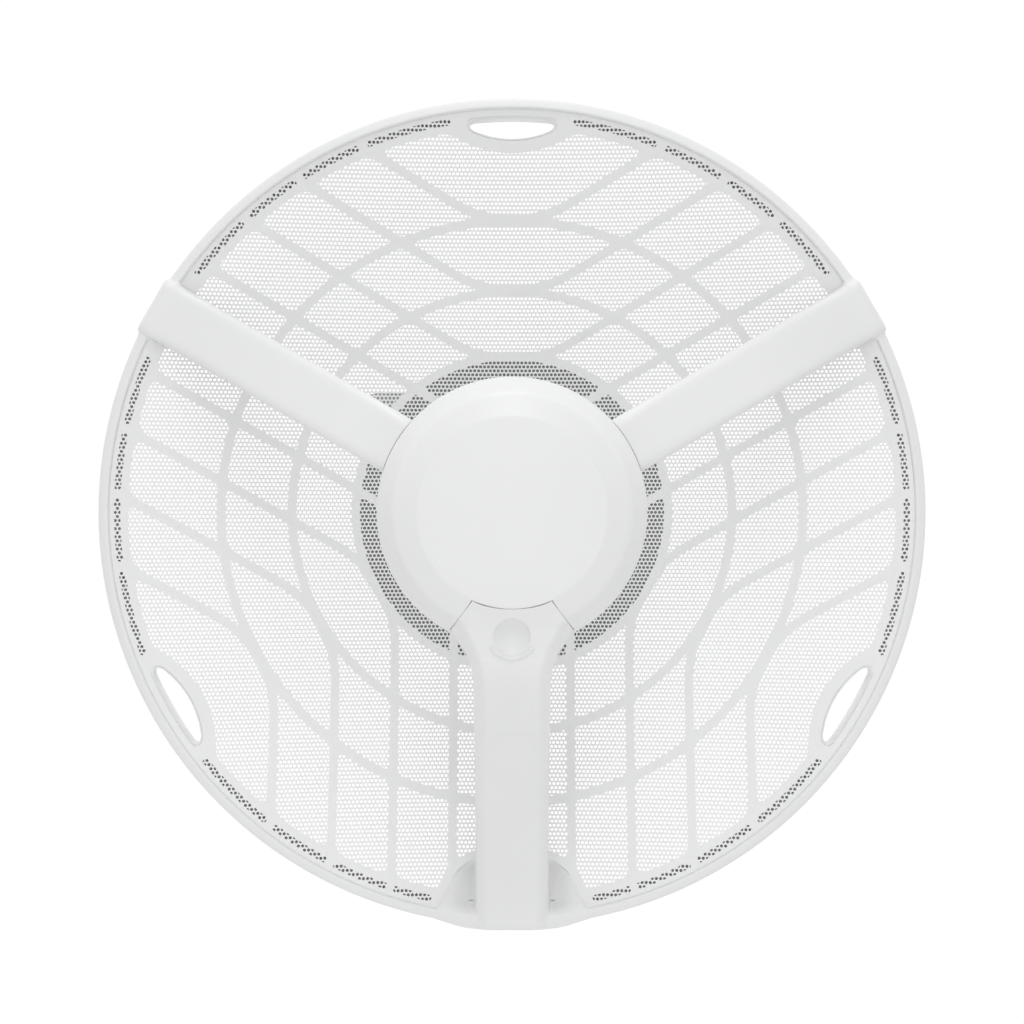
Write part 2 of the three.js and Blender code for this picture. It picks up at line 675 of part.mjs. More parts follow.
put(antenna, "reflector", painted, makeReflector());
put(antenna, "front_frame", white, makeFrontFrame());
put(antenna, "lower_arm_back_cover", white, makeLowerArmBackCover());
put(antenna, "hub_front_cover", white, makeHubFrontCover());
put(antenna, "hub_rear_radome", white, makeHubRearRadome());
put(antenna, "hub_gasket", rubber, makeHubGasket());
put(antenna, "port_cover", white, makePortCover());
put(antenna, "port_seal", rubber, makePortSeal());
put(antenna, "radio_board", board, makeRadioBoard());
put(antenna, "rf_module", grey, makeTile(RF_MODULE));
put(antenna, "feed_horn", steel, makeFeedHorn());
put(antenna, "heat_sink", grey, makeHeatSink());
put(antenna, "gps_patch", white, makeTile(GPS));
put(antenna, "ethernet_jack", steel, makeEthernetJack());
put(antenna, "reset_switch", black, makeResetSwitch());
put(antenna, "reset_button", black, makeResetButton());
put(antenna, "cable_grommet", rubber, makeCableGrommet());
put(antenna, "rear_plate", grey, makeRearPlate());
boardScrewPlaces.forEach((place, i) => {
  const screw = makeScrew(place, BOARD.depth + 3.8, BOARD.depth - 6, 1.5, 2.9);
  put(antenna, `board_screw_${i + 1}`, steel, screw);
});
plateScrewPlaces.forEach((place, i) => {
  const screw = makeScrew(place, dishDepth(PLATE.screwR) + 2.8, -6, 1.7, 4);
  put(antenna, `plate_screw_${i + 1}`, steel, screw);
});

put(bridge, "swivel_block", grey, makeSwivelBlock());
put(bridge, "clamp_front_jaw", grey, makeFrontJaw());
put(bridge, "clamp_rear_jaw", grey, makeRearJaw());

const azimuthAt = [DISH.x, FORK.y];
const azimuthWasher = -FORK.outer - GAP - M8.washer;
put(bridge, "azimuth_bolt", steel, makeBolt("z", FORK.outer + GAP, -36, azimuthAt));
put(bridge, "azimuth_washer", steel, makeWasher("z", azimuthWasher, azimuthAt));
put(bridge, "azimuth_nut", steel, makeNut("z", azimuthWasher - GAP - M8.nut, azimuthAt));

const elevationAt = [PIVOT_Y, 0];
const elevationWasher = DISH.x - EAR.outer - GAP - M8.washer;
put(bridge, "elevation_bolt", steel, makeBolt("x", DISH.x + EAR.outer + GAP, DISH.x - 32, elevationAt));
put(bridge, "elevation_washer", steel, makeWasher("x", elevationWasher, elevationAt));
put(bridge, "elevation_nut", steel, makeNut("x", elevationWasher - GAP - M8.nut, elevationAt));

const earBack = JAW.face + JAW.earThickness;
[["left", -1], ["right", 1]].forEach(([side, sign]) => {
  const at = [sign * JAW.boltX, JAW.z];
  put(bridge, `clamp_bolt_${side}`, steel, makeBolt("y", -earBack - GAP, 56, at));
  put(bridge, `clamp_washer_${side}`, steel, makeWasher("y", earBack + GAP, at));
  put(bridge, `clamp_nut_${side}`, steel, makeNut("y", earBack + 2 * GAP + M8.washer, at));
});

export default bridge;
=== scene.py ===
import json
import math

import bmesh
import bpy
import numpy as np
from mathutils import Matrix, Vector


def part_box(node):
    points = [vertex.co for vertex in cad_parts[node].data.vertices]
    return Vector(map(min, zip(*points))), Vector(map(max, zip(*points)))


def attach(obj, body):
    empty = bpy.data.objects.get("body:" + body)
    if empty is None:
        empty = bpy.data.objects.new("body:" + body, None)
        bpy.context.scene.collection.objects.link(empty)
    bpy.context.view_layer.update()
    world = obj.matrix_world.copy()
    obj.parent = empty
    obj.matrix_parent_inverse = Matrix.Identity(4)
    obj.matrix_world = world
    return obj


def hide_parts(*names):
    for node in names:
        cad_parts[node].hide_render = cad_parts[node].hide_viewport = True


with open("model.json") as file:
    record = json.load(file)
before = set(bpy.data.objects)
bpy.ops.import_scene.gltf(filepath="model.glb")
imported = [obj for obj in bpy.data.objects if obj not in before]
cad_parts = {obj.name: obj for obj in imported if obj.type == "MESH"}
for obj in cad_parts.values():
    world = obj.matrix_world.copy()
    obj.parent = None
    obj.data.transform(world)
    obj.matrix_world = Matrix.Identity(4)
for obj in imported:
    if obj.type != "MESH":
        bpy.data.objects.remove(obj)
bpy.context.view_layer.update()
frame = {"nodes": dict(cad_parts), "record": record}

# ---- Driving sizes, in millimetres, as in the CAD model. Depth is forward of the dish's vertex ----

MM = 0.001
SHEET_THICKNESS = 1.0
SHEET_DRAWN = 0.7  # the pierced sheet is drawn thinner than the CAD's
REFLECTOR_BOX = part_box("reflector")
DISH_X = (REFLECTOR_BOX[0].x + REFLECTOR_BOX[1].x) / 2 / MM
VERTEX_Y = REFLECTOR_BOX[1].y / MM - SHEET_THICKNESS
FOCAL = 168.0
SHEET_R = 201.1
RING_R = 206.5
RING_BACK = 44.2
RING_FRONT = 63.0
# A slot lies between the circle r and the circle scoop_r round centre, and reaches half each way. The sheet
# has no holes within band of that centre, and ends lip away from the slot
SLOT = {"r": 196.9, "scoop_r": 51.7, "centre": 239.0, "band": 58.3, "half": 22.0, "middle": 192.2, "lip": 0.9,
        "corner": 2.0, "end_corner": 3.6}
SECTOR_TURNS = (0, 120, 240)
DOWN = -90
HALF_SECTOR = 60
COS_30 = math.sqrt(0.75)

ARM_ROOT = 205.0
ARM_ROOT_DEPTH = 66.0
ARM_INNER = 62.0
UPPER_TOP = 160.0
UPPER_END = 207.6
LOWER_END = 208.4
ARM_WALL = 2.4
UPPER_CORNER = 5.2
HUB_R = 62.6
HUB_BACK = 140.0
HUB_SEAM = 150.0
HUB_EDGE = 150.6  # the covers' rear edge, just ahead of the seam
HUB_SHOULDER = 168.0
HUB_STEPS = ((0, 194.0), (21, 193.5), (43.5, 191.5), (54.5, 186.0))  # the front's steps, (radius, depth)
BEVEL_R = HUB_STEPS[-1][0]
CUP_FLOOR = 2.6
CREST = (66.0, 184.0)  # where the lower arm's crest begins, (radius, depth)
COVER_END = 103.0
COVER_TOP = 44.0
COVER_SKIRT = 14.0
END_GAP = 0.03
DIMPLE_Z = -57.0
DIMPLE_R = 8.7
BALL_R = 12.2
DIMPLE_LEAN = 0.4
DIMPLE_STEP = {"depth": 0.6, "width": 0.8}
CRESCENT = {"r": 11.0, "half": 1.15, "height": 1.4, "arc": 56, "rise": 1.2}


# ---- Small tools ----

def swell(t):
    """A smooth step from 0 to 1 as t goes from 0 to 1."""
    t = np.clip(t, 0.0, 1.0)
    return t * t * (3 - 2 * t)


def along(pairs, value):
    """The value of a short list of (place, value) pairs, straight between them."""
    places, values = zip(*pairs)
    return np.interp(value, places, values)


def softly(pairs, value, reach):
    """As along, with its corners rounded over reach."""
    return sum(along(pairs, value + reach * step) for step in (-1, -0.5, 0, 0.5, 1)) / 5


def smooth_max(a, b, reach):
    """The larger of a and b, rounded where they are within reach of each other."""
    blend = np.maximum(reach - np.abs(a - b), 0.0) / reach
    return np.maximum(a, b) + blend * blend * reach / 4


def dish_depth(r):
    return r * r / (4 * FOCAL)


def rounded(profile, steps=5):
    """A closed profile of (a, b, radius) corners as points, each corner rounded by its radius."""
    out = []
    count = len(profile)
    for i, (a, b, radius) in enumerate(profile):
        here = np.array((a, b), float)
        before = np.array(profile[i - 1][:2], float) - here
        after = np.array(profile[(i + 1) % count][:2], float) - here
        if radius <= 0:
            out.append(here)
            continue
        reach = [min(radius, 0.48 * np.linalg.norm(way)) for way in (before, after)]
        start = here + before / np.linalg.norm(before) * reach[0]
        end = here + after / np.linalg.norm(after) * reach[1]
        for t in np.linspace(0, 1, steps):
            out.append((1 - t) ** 2 * start + 2 * t * (1 - t) * here + t * t * end)
    return np.array(out)


def placed(local):
    """Points (x, depth, z) from the dish's vertex, in the row frame."""
    local = np.asarray(local, float)
    return np.column_stack((local[:, 0] + DISH_X, VERTEX_Y - local[:, 1], local[:, 2]))


def spun(local, degrees):
    """Points turned about the dish's axis, anticlockwise as seen from the front."""
    turn = math.radians(degrees)
    c, s = math.cos(turn), math.sin(turn)
    local = np.asarray(local, float)
    x, z = local[:, 0], local[:, 2]
    return np.column_stack((c * x - s * z, local[:, 1], s * x + c * z))


def make_object(name, points_mm, faces, smooth=True):
    mesh = bpy.data.meshes.new(name)
    mesh.from_pydata((np.asarray(points_mm, float) * MM).tolist(), [], [list(f) for f in faces])
    mesh.update()
    piece = link(name, mesh)
    outward(piece)
    if smooth:
        shade(piece)
    return piece


def link(name, data):
    thing = bpy.data.objects.new(name, data)
    bpy.context.scene.collection.objects.link(thing)
    return thing


def outward(piece, flat_degrees=None):
    """Merges doubled vertices, and faces flat to within flat_degrees, and turns faces outwards."""
    work = bmesh.new()
    work.from_mesh(piece.data)
    bmesh.ops.remove_doubles(work, verts=work.verts, dist=1e-6)
    if flat_degrees is not None:
        limit = math.radians(flat_degrees)
        bmesh.ops.dissolve_limit(work, angle_limit=limit, verts=work.verts, edges=work.edges)
    bmesh.ops.recalc_face_normals(work, faces=work.faces)
    work.to_mesh(piece.data)
    work.free()


def shade(piece, degrees=32):
    piece.data.shade_smooth()
    piece.data.set_sharp_from_angle(angle=math.radians(degrees))


def select_only(piece):
    bpy.ops.object.select_all(action="DESELECT")
    piece.select_set(True)
    bpy.context.view_layer.objects.active = piece


def apply(piece, kind, **settings):
    modifier = piece.modifiers.new(kind, kind)
    for key, value in settings.items():
        setattr(modifier, key, value)
    select_only(piece)
    bpy.ops.object.modifier_apply(modifier=modifier.name)


def cut(piece, *tools):
    for tool in tools:
        apply(piece, "BOOLEAN", operation="DIFFERENCE", solver="EXACT", object=tool)
        bpy.data.objects.remove(tool)


def join(name, pieces):
    select_only(pieces[0])
    for piece in pieces[1:]:
        piece.select_set(True)
    bpy.ops.object.join()
    pieces[0].name = name
    return pieces[0]


def melt(piece, voxel_mm, smoothing, repeats):
    """Fuses overlapping shells into one skin and rounds its corners."""
    apply(piece, "REMESH", mode="VOXEL", voxel_size=voxel_mm * MM)
    apply(piece, "SMOOTH", factor=smoothing, iterations=repeats)
    shade(piece, 50)


def grid_faces(rows, columns, close_columns=False):
    across = columns if close_columns else columns - 1
    faces = []
    for i in range(rows - 1):
        for j in range(across):
            k = (j + 1) % columns
            faces.append((i * columns + j, i * columns + k, (i + 1) * columns + k, (i + 1) * columns + j))
    return faces


def capped_faces(rows, columns):
    """The sides of a closed bar, and a cap at each end."""
    last = (rows - 1) * columns
    return [*grid_faces(rows, columns, close_columns=True), tuple(range(columns)),
            tuple(last + j for j in reversed(range(columns)))]


def lathe(name, profile, segments=240, arc=None, centre=270.0):
    """A closed (radius, depth) profile turned round the dish's axis, or arc degrees each way of centre."""
    profile = np.asarray(profile, float)
    r, depth = profile[:, 0], profile[:, 1]
    full = arc is None
    if full:
        turns = np.linspace(0, 360, segments, endpoint=False)
    else:
        turns = centre + np.linspace(-arc, arc, segments)
    rows, columns = len(turns), len(profile)
    points = np.concatenate([np.column_stack((r * math.cos(turn), depth, r * math.sin(turn)))
                             for turn in np.radians(turns)])
    if not full:
        return make_object(name, placed(points), capped_faces(rows, columns))
    last = (rows - 1) * columns
    faces = grid_faces(rows, columns, close_columns=True)
    faces += [(last + j, last + (j + 1) % columns, (j + 1) % columns, j) for j in range(columns)]
    return make_object(name, placed(points), faces)


def prism(name, outline, low, high, turn=0.0):
    """An outline of (x, z) points carried from one depth to another."""
    outline = np.asarray(outline, float)
    count = len(outline)
    level = [np.column_stack((outline[:, 0], np.full(count, depth), outline[:, 1])) for depth in (low, high)]
    points = spun(np.concatenate(level), turn)
    faces = [tuple(range(count)), tuple(range(2 * count - 1, count - 1, -1))]
    faces += [(i, (i + 1) % count, count + (i + 1) % count, count + i) for i in range(count)]
    return make_object(name, placed(points), faces, smooth=False)


def finish_piece(piece, node, body="antenna", slot="white_plastic"):
    """Gives a piece its finish and its body, and hides the CAD node that it stands for."""
    piece.data.materials.clear()
    piece.data.materials.append(FINISHES[slot])
    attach(piece, body)
    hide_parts(node)


# ---- Materials ----

def material_base(colour, roughness, metallic=0.0):
    material = bpy.data.materials.new("finish")
    material.use_nodes = True
    tree = material.node_tree
    shader = tree.nodes["Principled BSDF"]
    shader.inputs["Base Color"].default_value = (*colour, 1)
    shader.inputs["Roughness"].default_value = roughness
    shader.inputs["Metallic"].default_value = metallic
    place = tree.nodes.new("ShaderNodeTexCoord").outputs["Object"]
    return material, tree, shader, place


def add_node(tree, kind, **values):
    """A shader node with these inputs set, where an underscore stands for a space."""
    node = tree.nodes.new("ShaderNode" + kind)
    for name, value in values.items():
        node.inputs[name.replace("_", " ")].default_value = value
    return node


def noise(tree, place, scale, detail=3.0, roughness=0.5):
    node = add_node(tree, "TexNoise", Scale=scale, Detail=detail, Roughness=roughness)
    tree.links.new(place, node.inputs["Vector"])
    return node.outputs["Fac"]


def spread(tree, value, low, high):
    """Stretches the middle of a noise's range to run from low to high."""
    node = add_node(tree, "MapRange", From_Min=0.3, From_Max=0.7, To_Min=low, To_Max=high)
    tree.links.new(value, node.inputs["Value"])
    return node.outputs["Result"]


def tint(tree, value, dark, light):
    node = tree.nodes.new("ShaderNodeMix")
    node.data_type = "RGBA"
    node.inputs["A"].default_value = (*dark, 1)
    node.inputs["B"].default_value = (*light, 1)
    tree.links.new(value, node.inputs["Factor"])
    return node.outputs["Result"]


def bump(tree, shader, height, strength, distance):
    node = add_node(tree, "Bump", Strength=strength, Distance=distance)
    tree.links.new(height, node.inputs["Height"])
    tree.links.new(node.outputs["Normal"], shader.inputs["Normal"])


def textured(colour, roughness, metallic=0.0, vary=0.03, grain=900.0, depth=0.00003):
    """Moulded, cast or coated stuff: a slow change of tone and gloss, and a fine grain."""
    material, tree, shader, place = material_base(colour, roughness, metallic)
    slow = spread(tree, noise(tree, place, 14.0), 0, 1)
    dark = tuple(c * (1 - vary) for c in colour)
    light = tuple(min(c * (1 + 0.5 * vary), 1.0) for c in colour)
    tree.links.new(tint(tree, slow, dark, light), shader.inputs["Base Color"])
    fine = noise(tree, place, grain, 2.0)
    tree.links.new(spread(tree, fine, roughness - 0.05, roughness + 0.05), shader.inputs["Roughness"])
    bump(tree, shader, fine, 0.4, depth)
    return material


def brushed(colour, roughness):
    """Plated steel: fine scratches drawn out along one way, over a slow change of tone."""
    material, tree, shader, place = material_base(colour, roughness, metallic=1.0)
    stretch = add_node(tree, "Mapping", Scale=(1.0, 0.06, 1.0))
    tree.links.new(place, stretch.inputs["Vector"])
    scratches = noise(tree, stretch.outputs["Vector"], 1600.0, 4.0, 0.7)
    slow = spread(tree, noise(tree, place, 60.0), 0, 1)
    dark = tuple(c * 0.86 for c in colour)
    tree.links.new(tint(tree, slow, dark, colour), shader.inputs["Base Color"])
    tree.links.new(spread(tree, scratches, roughness - 0.08, roughness + 0.12), shader.inputs["Roughness"])
    bump(tree, shader, scratches, 0.25, 0.00002)
    return material


def circuit():
    """Green solder mask with copper tracks under it."""
    material, tree, shader, place = material_base((0.02, 0.13, 0.06), 0.35)
    bricks = add_node(tree, "TexBrick", Scale=220.0, Mortar_Size=0.03, Color1=(0.015, 0.11, 0.05, 1),
                      Color2=(0.02, 0.14, 0.065, 1), Mortar=(0.05, 0.24, 0.1, 1))
    flat = add_node(tree, "Mapping", Rotation=(math.radians(90), 0, 0))
    tree.links.new(place, flat.inputs["Vector"])
    tree.links.new(flat.outputs["Vector"], bricks.inputs["Vector"])
    tree.links.new(bricks.outputs["Color"], shader.inputs["Base Color"])
    tree.links.new(spread(tree, noise(tree, place, 300.0), 0.3, 0.42), shader.inputs["Roughness"])
    return material


# One finish for each of the record's material slots
FINISHES = {
    "white_plastic": textured((0.80, 0.803, 0.806), 0.36, vary=0.012, grain=1400.0, depth=0.000012),
    "painted_sheet": textured((0.83, 0.833, 0.836), 0.5, vary=0.015, grain=700.0, depth=0.00002),
    "cast_grey": textured((0.35, 0.355, 0.36), 0.55, metallic=0.25, vary=0.08, grain=1500.0, depth=0.00006),
    "steel": brushed((0.58, 0.59, 0.60), 0.32),
    "aluminium": brushed((0.70, 0.71, 0.72), 0.4),
    "rubber": textured((0.035, 0.035, 0.037), 0.8, vary=0.2, grain=1200.0, depth=0.00005),
    "circuit_board": circuit(),
    "ceramic": textured((0.56, 0.48, 0.38), 0.6, vary=0.06),
    "black_plastic": textured((0.022, 0.022, 0.024), 0.45, vary=0.15, grain=1200.0),
}
for finish_name, finish in FINISHES.items():
    finish.name = finish_name


# ---- The perforated reflector ----

PITCH = 2.034  # from hole to hole, and from row to row
LATTICE_X = 0.5  # the lattice's place, in pitches from the dish's centre
LATTICE_Z = -0.1
HOLE_R = 0.80
HOLE_SIDES = 8
HALF_WEB = 2.1
WEB_CIRCLES = (80.7, 113.0, 148.1)
WEB_COUNT = 5
WEB_SPACING = 30.2
WEB_FILLET = 60.0
CELL_RIM = 192.4
CELL_CORNER = {"circle": 2.0, "web": 2.5, "rim": 5.0, "slot": 3.0, "foot": 3.0}  # rounding by neighbour
INNER_RING = (60.0, 78.6)
FOOT_EDGE = ((0, -173.6), (14, -173.6), (19, -174.4), (24, -177), (28.3, -180.5), (32.5, -188), (34.7, -193))
FOOT_MARGIN = 3.4
FOOT_LAP = 0.3
BAND_R = 197.4
BAND_HALF = 1.5
STRIP_CORNER = 1.5  # the rounding of the band's strips and of the inner ring's pieces
FAR = 1e9
BAND_ARCS = ((6.9, 17.1), (18.4, 26.8), (28.0, 37.2), (38.5, 51.2))
BAND_FOOT_ARC = (11.8, 17.5)  # the first arc beside the lower arm's foot is shorter


def folded(x, z):
    """Points turned and mirrored into the sector round +Z, whose arm lies at 30 degrees."""
    sector = np.round((np.degrees(np.arctan2(z, x)) - 90) / 120)
    turn = np.radians(-120 * sector)
    return np.abs(np.cos(turn) * x - np.sin(turn) * z), np.sin(turn) * x + np.cos(turn) * z


def web_distance(x, z, k):
    """The distance to the k-th web beside an arm, which turns round a fillet at the bisector."""
    offset = -0.5 * x + COS_30 * z
    centre = (k * WEB_SPACING + WEB_FILLET) / COS_30
    on_fillet = x < (centre - z) * math.tan(math.radians(30))
    arc = np.abs(np.hypot(x, z - centre) - WEB_FILLET)
    return np.where(on_fillet, arc, np.abs(offset - k * WEB_SPACING))


def foot_distance(x, z):
    """How far a point lies outside the foot's gusset."""
    x = np.abs(x)
    outside = np.full_like(x, -FAR)
    for (x0, z0), (x1, z1) in zip(FOOT_EDGE, FOOT_EDGE[1:]):
        length = math.hypot(x1 - x0, z1 - z0)
        normal = ((z0 - z1) / length, (x1 - x0) / length)
        outside = np.maximum(outside, (x - x0) * normal[0] + (z - z0) * normal[1])
    return outside


def outside_cells(x, z, r, fx, fz):
    """Negative inside the large cells between the webs."""
    cell = WEB_CIRCLES[0] + HALF_WEB - r
    for circle in WEB_CIRCLES[1:]:
        cell = smooth_max(cell, HALF_WEB - np.abs(r - circle), CELL_CORNER["circle"])
    for k in range(WEB_COUNT):
        cell = smooth_max(cell, HALF_WEB - web_distance(fx, fz, k), CELL_CORNER["web"])
    cell = smooth_max(cell, r - CELL_RIM, CELL_CORNER["rim"])
    cell = smooth_max(cell, SLOT["band"] - np.hypot(fx, fz - SLOT["centre"]), CELL_CORNER["slot"])
    return smooth_max(cell, FOOT_MARGIN - foot_distance(x, z), CELL_CORNER["foot"])


def outside_band(x, z, r, fx, fz):
    """Negative inside the thin strips of holes by the rim."""
    from_arm = HALF_SECTOR - np.degrees(np.arctan2(fx, fz))
    at_foot = np.abs(np.degrees(np.arctan2(x, -z))) < HALF_SECTOR
    band = np.full_like(r, FAR)
    for i, (low, high) in enumerate(BAND_ARCS):
        low_here = np.where(at_foot & (i == 0), BAND_FOOT_ARC[0], low)
        high_here = np.where(at_foot & (i == 0), BAND_FOOT_ARC[1], high)
        past_end = np.radians(np.abs(from_arm - (low_here + high_here) / 2) - (high_here - low_here) / 2) * r
        band = np.minimum(band, smooth_max(np.abs(r - BAND_R) - BAND_HALF, past_end, STRIP_CORNER))
    return band


def outside_holes(x, z):
    """Negative where the sheet is perforated, growing with the distance from there."""
    r = np.hypot(x, z)
    fx, fz = folded(x, z)
    inner = smooth_max(np.abs(r - sum(INNER_RING) / 2) - (INNER_RING[1] - INNER_RING[0]) / 2,
                       HALF_WEB - web_distance(fx, fz, 1), STRIP_CORNER)
    return np.minimum(np.minimum(inner, outside_cells(x, z, r, fx, fz)), outside_band(x, z, r, fx, fz))


def slot_distance(x, z):
    """Negative inside a D-shaped slot."""
    fx, fz = folded(x, z)
    scooped = np.hypot(fx, fz - SLOT["centre"]) - SLOT["scoop_r"]
    lens = smooth_max(np.hypot(fx, fz) - SLOT["r"], scooped, SLOT["corner"])
    return smooth_max(lens, fx - SLOT["half"], SLOT["end_corner"])


def sheet_edge(x, z):
    """The distance into the sheet from a slot or the foot's gusset, negative where there is no sheet."""
    return np.minimum(slot_distance(x, z) - SLOT["lip"], foot_distance(x, z) + FOOT_LAP)


def slope(function, x, z, step=0.01):
    """The direction in which a function of x and z grows fastest, as a unit vector."""
    dx = (function(x + step, z) - function(x - step, z)) / (2 * step)
    dz = (function(x, z + step) - function(x, z - step)) / (2 * step)
    size = np.maximum(np.hypot(dx, dz), 1e-6)
    return dx / size, dz / size


# A tile's corners, anticlockwise, in half pitches and rows, and their directions
TILE_CORNERS = ((1, 0), (0, 0), (-1, 0), (-1, -1), (0, -1), (1, -1))
TILE_ANGLES = (45, 90, 135, 225, 270, 315)
HOLE_ANGLES = tuple(22.5 + 360 * i / HOLE_SIDES for i in range(HOLE_SIDES))
SPARE_TILES = 3
KEY_STEP = 100000  # a corner's key holds its two places, and an edge's key its two corners
EDGE_STEP = 10 ** 9
RIM_REACH = 1.6  # corners this near the rim are moved onto it, unless they are this near a slot
SLOT_REACH = 0.3


def tile_triangles():
    """The anticlockwise triangles between a tile's corners, 0 to 5, and its hole's."""
    outer = [(angle, i) for i, angle in enumerate(TILE_ANGLES)]
    inner = [(angle, 6 + i) for i, angle in enumerate(HOLE_ANGLES)]
    triangles, a, b = [], 0, 1
    for _ in range(len(outer) + len(inner)):
        turn_a = outer[(a + 1) % len(outer)][0] + 360 * ((a + 1) // len(outer))
        turn_b = inner[(b + 1) % len(inner)][0] + 360 * ((b + 1) // len(inner))
        here_a, here_b = outer[a % len(outer)][1], inner[b % len(inner)][1]
        if turn_a < turn_b:
            a += 1
            triangles.append((here_a, outer[a % len(outer)][1], here_b))
        else:
            b += 1
            triangles.append((here_a, inner[b % len(inner)][1], here_b))
    return np.array(triangles)


class Lattice:
    """The sheet as brick-laid tiles, one to each place where a hole may be."""

    def __init__(self):
        reach = int(SHEET_R / PITCH) + SPARE_TILES
        row, column = np.meshgrid(np.arange(-reach, reach), np.arange(-reach, reach), indexing="ij")
        row, column = row.ravel(), column.ravel()
        half = 2 * column + row % 2
        x = (LATTICE_X + half / 2) * PITCH
        z = (LATTICE_Z + row) * PITCH
        keep = (np.hypot(x, z) < SHEET_R) & (sheet_edge(x, z) > 0)
        self.x, self.z = x[keep], z[keep]
        self.base = 4 * reach
        self.corners = np.stack([self.key(half[keep] + i, row[keep] + k) for i, k in TILE_CORNERS], 1)
        self.edge_keys = np.unique(np.concatenate(self.outer_edges(self.corners)))

    def key(self, half, row):
        return (half + self.base) * KEY_STEP + (row + self.base)

    def outer_edges(self, corners):
        """The tile edges that no other of these tiles shares, as pairs of corner keys."""
        start, end = corners.ravel(), np.roll(corners, -1, axis=1).ravel()
        forward = start * EDGE_STEP + end
        backward = end * EDGE_STEP + start
        alone = ~np.isin(forward, backward)
        return start[alone], end[alone]

    def corner_places(self, keys):
        """Where these corners are, with those on the sheet's edge moved onto the true outline."""
        half, row = keys // KEY_STEP - self.base, keys % KEY_STEP - self.base
        x = (LATTICE_X + half / 2) * PITCH
        z = (LATTICE_Z + row + 0.5) * PITCH
        on_edge = np.isin(keys, self.edge_keys)
        at_rim = on_edge & (np.hypot(x, z) > SHEET_R - RIM_REACH) & (sheet_edge(x, z) > SLOT_REACH)
        scale = np.where(at_rim, SHEET_R / np.maximum(np.hypot(x, z), 1), 1.0)
        x, z = x * scale, z * scale
        at_slot = on_edge & ~at_rim
        for _ in range(3):
            distance = np.where(at_slot, sheet_edge(x, z), 0.0)
            dx, dz = slope(sheet_edge, x, z)
            x, z = x - distance * dx, z - distance * dz
        return x, z


LEAST_INSIDE = -0.3  # a hole's centre may lie this far outside the perforated region, in hole radii
EDGE_MARGIN = 1.2
MOST_CUT = 0.95


def hole_outlines(x, z):
    """Each hole's outline, cut straight where the perforated region ends, and whether there is a hole."""
    inside = -outside_holes(x, z)
    nx, nz = slope(outside_holes, x, z)
    pierced = (inside > LEAST_INSIDE * HOLE_R) & (sheet_edge(x, z) > EDGE_MARGIN)
    reach = np.clip(inside / HOLE_R, -MOST_CUT, 1.0)
    cut_angle = np.arccos(reach)[:, None]
    facing = np.arctan2(nz, nx)[:, None]
    angle = np.radians(HOLE_ANGLES)[None, :]
    from_cut = (angle - facing + np.pi) % (2 * np.pi) - np.pi
    is_cut = np.abs(from_cut) < cut_angle
    chord = HOLE_R * np.sin(cut_angle) * from_cut / np.maximum(cut_angle, 1e-6)
    depth = HOLE_R * reach[:, None]
    cut_x = np.cos(facing) * depth - np.sin(facing) * chord
    cut_z = np.sin(facing) * depth + np.cos(facing) * chord
    hole_x = np.where(is_cut, cut_x, HOLE_R * np.cos(angle))
    hole_z = np.where(is_cut, cut_z, HOLE_R * np.sin(angle))
    return x[:, None] + hole_x, z[:, None] + hole_z, pierced


def fast_object(name, points_mm, triangles):
    """As make_object, for a mesh of very many triangles."""
    mesh = bpy.data.meshes.new(name)
    mesh.vertices.add(len(points_mm))
    mesh.vertices.foreach_set("co", (points_mm * MM).astype(np.float32).ravel())
    mesh.loops.add(triangles.size)
    mesh.loops.foreach_set("vertex_index", triangles.astype(np.int32).ravel())
    mesh.polygons.add(len(triangles))
    mesh.polygons.foreach_set("loop_start", np.arange(0, triangles.size, 3, dtype=np.int32))
    mesh.update(calc_edges=True)
    mesh.shade_flat()
    return link(name, mesh)


def make_reflector_part(name, lattice, chosen):
    corners = lattice.corners[chosen]
    keys, index = np.unique(corners, return_inverse=True)
    index = index.reshape(corners.shape)
    corner_x, corner_z = lattice.corner_places(keys)
    hole_x, hole_z, pierced = hole_outlines(lattice.x[chosen], lattice.z[chosen])
    holes = np.nonzero(pierced)[0]
    first = len(keys)
    hole_index = first + np.arange(len(holes) * HOLE_SIDES).reshape(-1, HOLE_SIDES)
    x = np.concatenate((corner_x, hole_x[holes].ravel()))
    z = np.concatenate((corner_z, hole_z[holes].ravel()))
    depth = dish_depth(np.hypot(x, z))
    front = np.column_stack((x, depth, z))
    back = np.column_stack((x, depth - SHEET_DRAWN, z))
    layer = len(front)

    tile = np.concatenate((index[holes], hole_index), axis=1)
    ringed = tile[:, tile_triangles()].reshape(-1, 3)
    solid = index[~pierced]
    fans = np.concatenate([solid[:, (0, i, i + 1)] for i in range(1, 5)])
    front_faces = np.concatenate((ringed, fans))

    def wall(a, b):
        near = np.column_stack((a, b, b + layer))
        return np.concatenate((near, np.column_stack((a, b + layer, a + layer))))

    hole_walls = wall(hole_index.ravel(), np.roll(hole_index, -1, axis=1).ravel())
    start, end = lattice.outer_edges(corners)
    rim_walls = wall(np.searchsorted(keys, end), np.searchsorted(keys, start))
    faces = np.concatenate((front_faces, front_faces[:, ::-1] + layer, hole_walls, rim_walls))
    return fast_object(name, placed(np.concatenate((front, back))), faces)


REFLECTOR_PARTS = 6


def make_reflector():
    lattice = Lattice()
    angle = np.degrees(np.arctan2(lattice.z, lattice.x)) % 360
    width = 360 // REFLECTOR_PARTS
    for i in range(REFLECTOR_PARTS):
        chosen = (angle >= width * i) & (angle < width * (i + 1))
        part = make_reflector_part(f"reflector_part_{i + 1}", lattice, chosen)
        finish_piece(part, "reflector", slot="painted_sheet")


# ---- The frame: ring, arms and the hub's cup ----

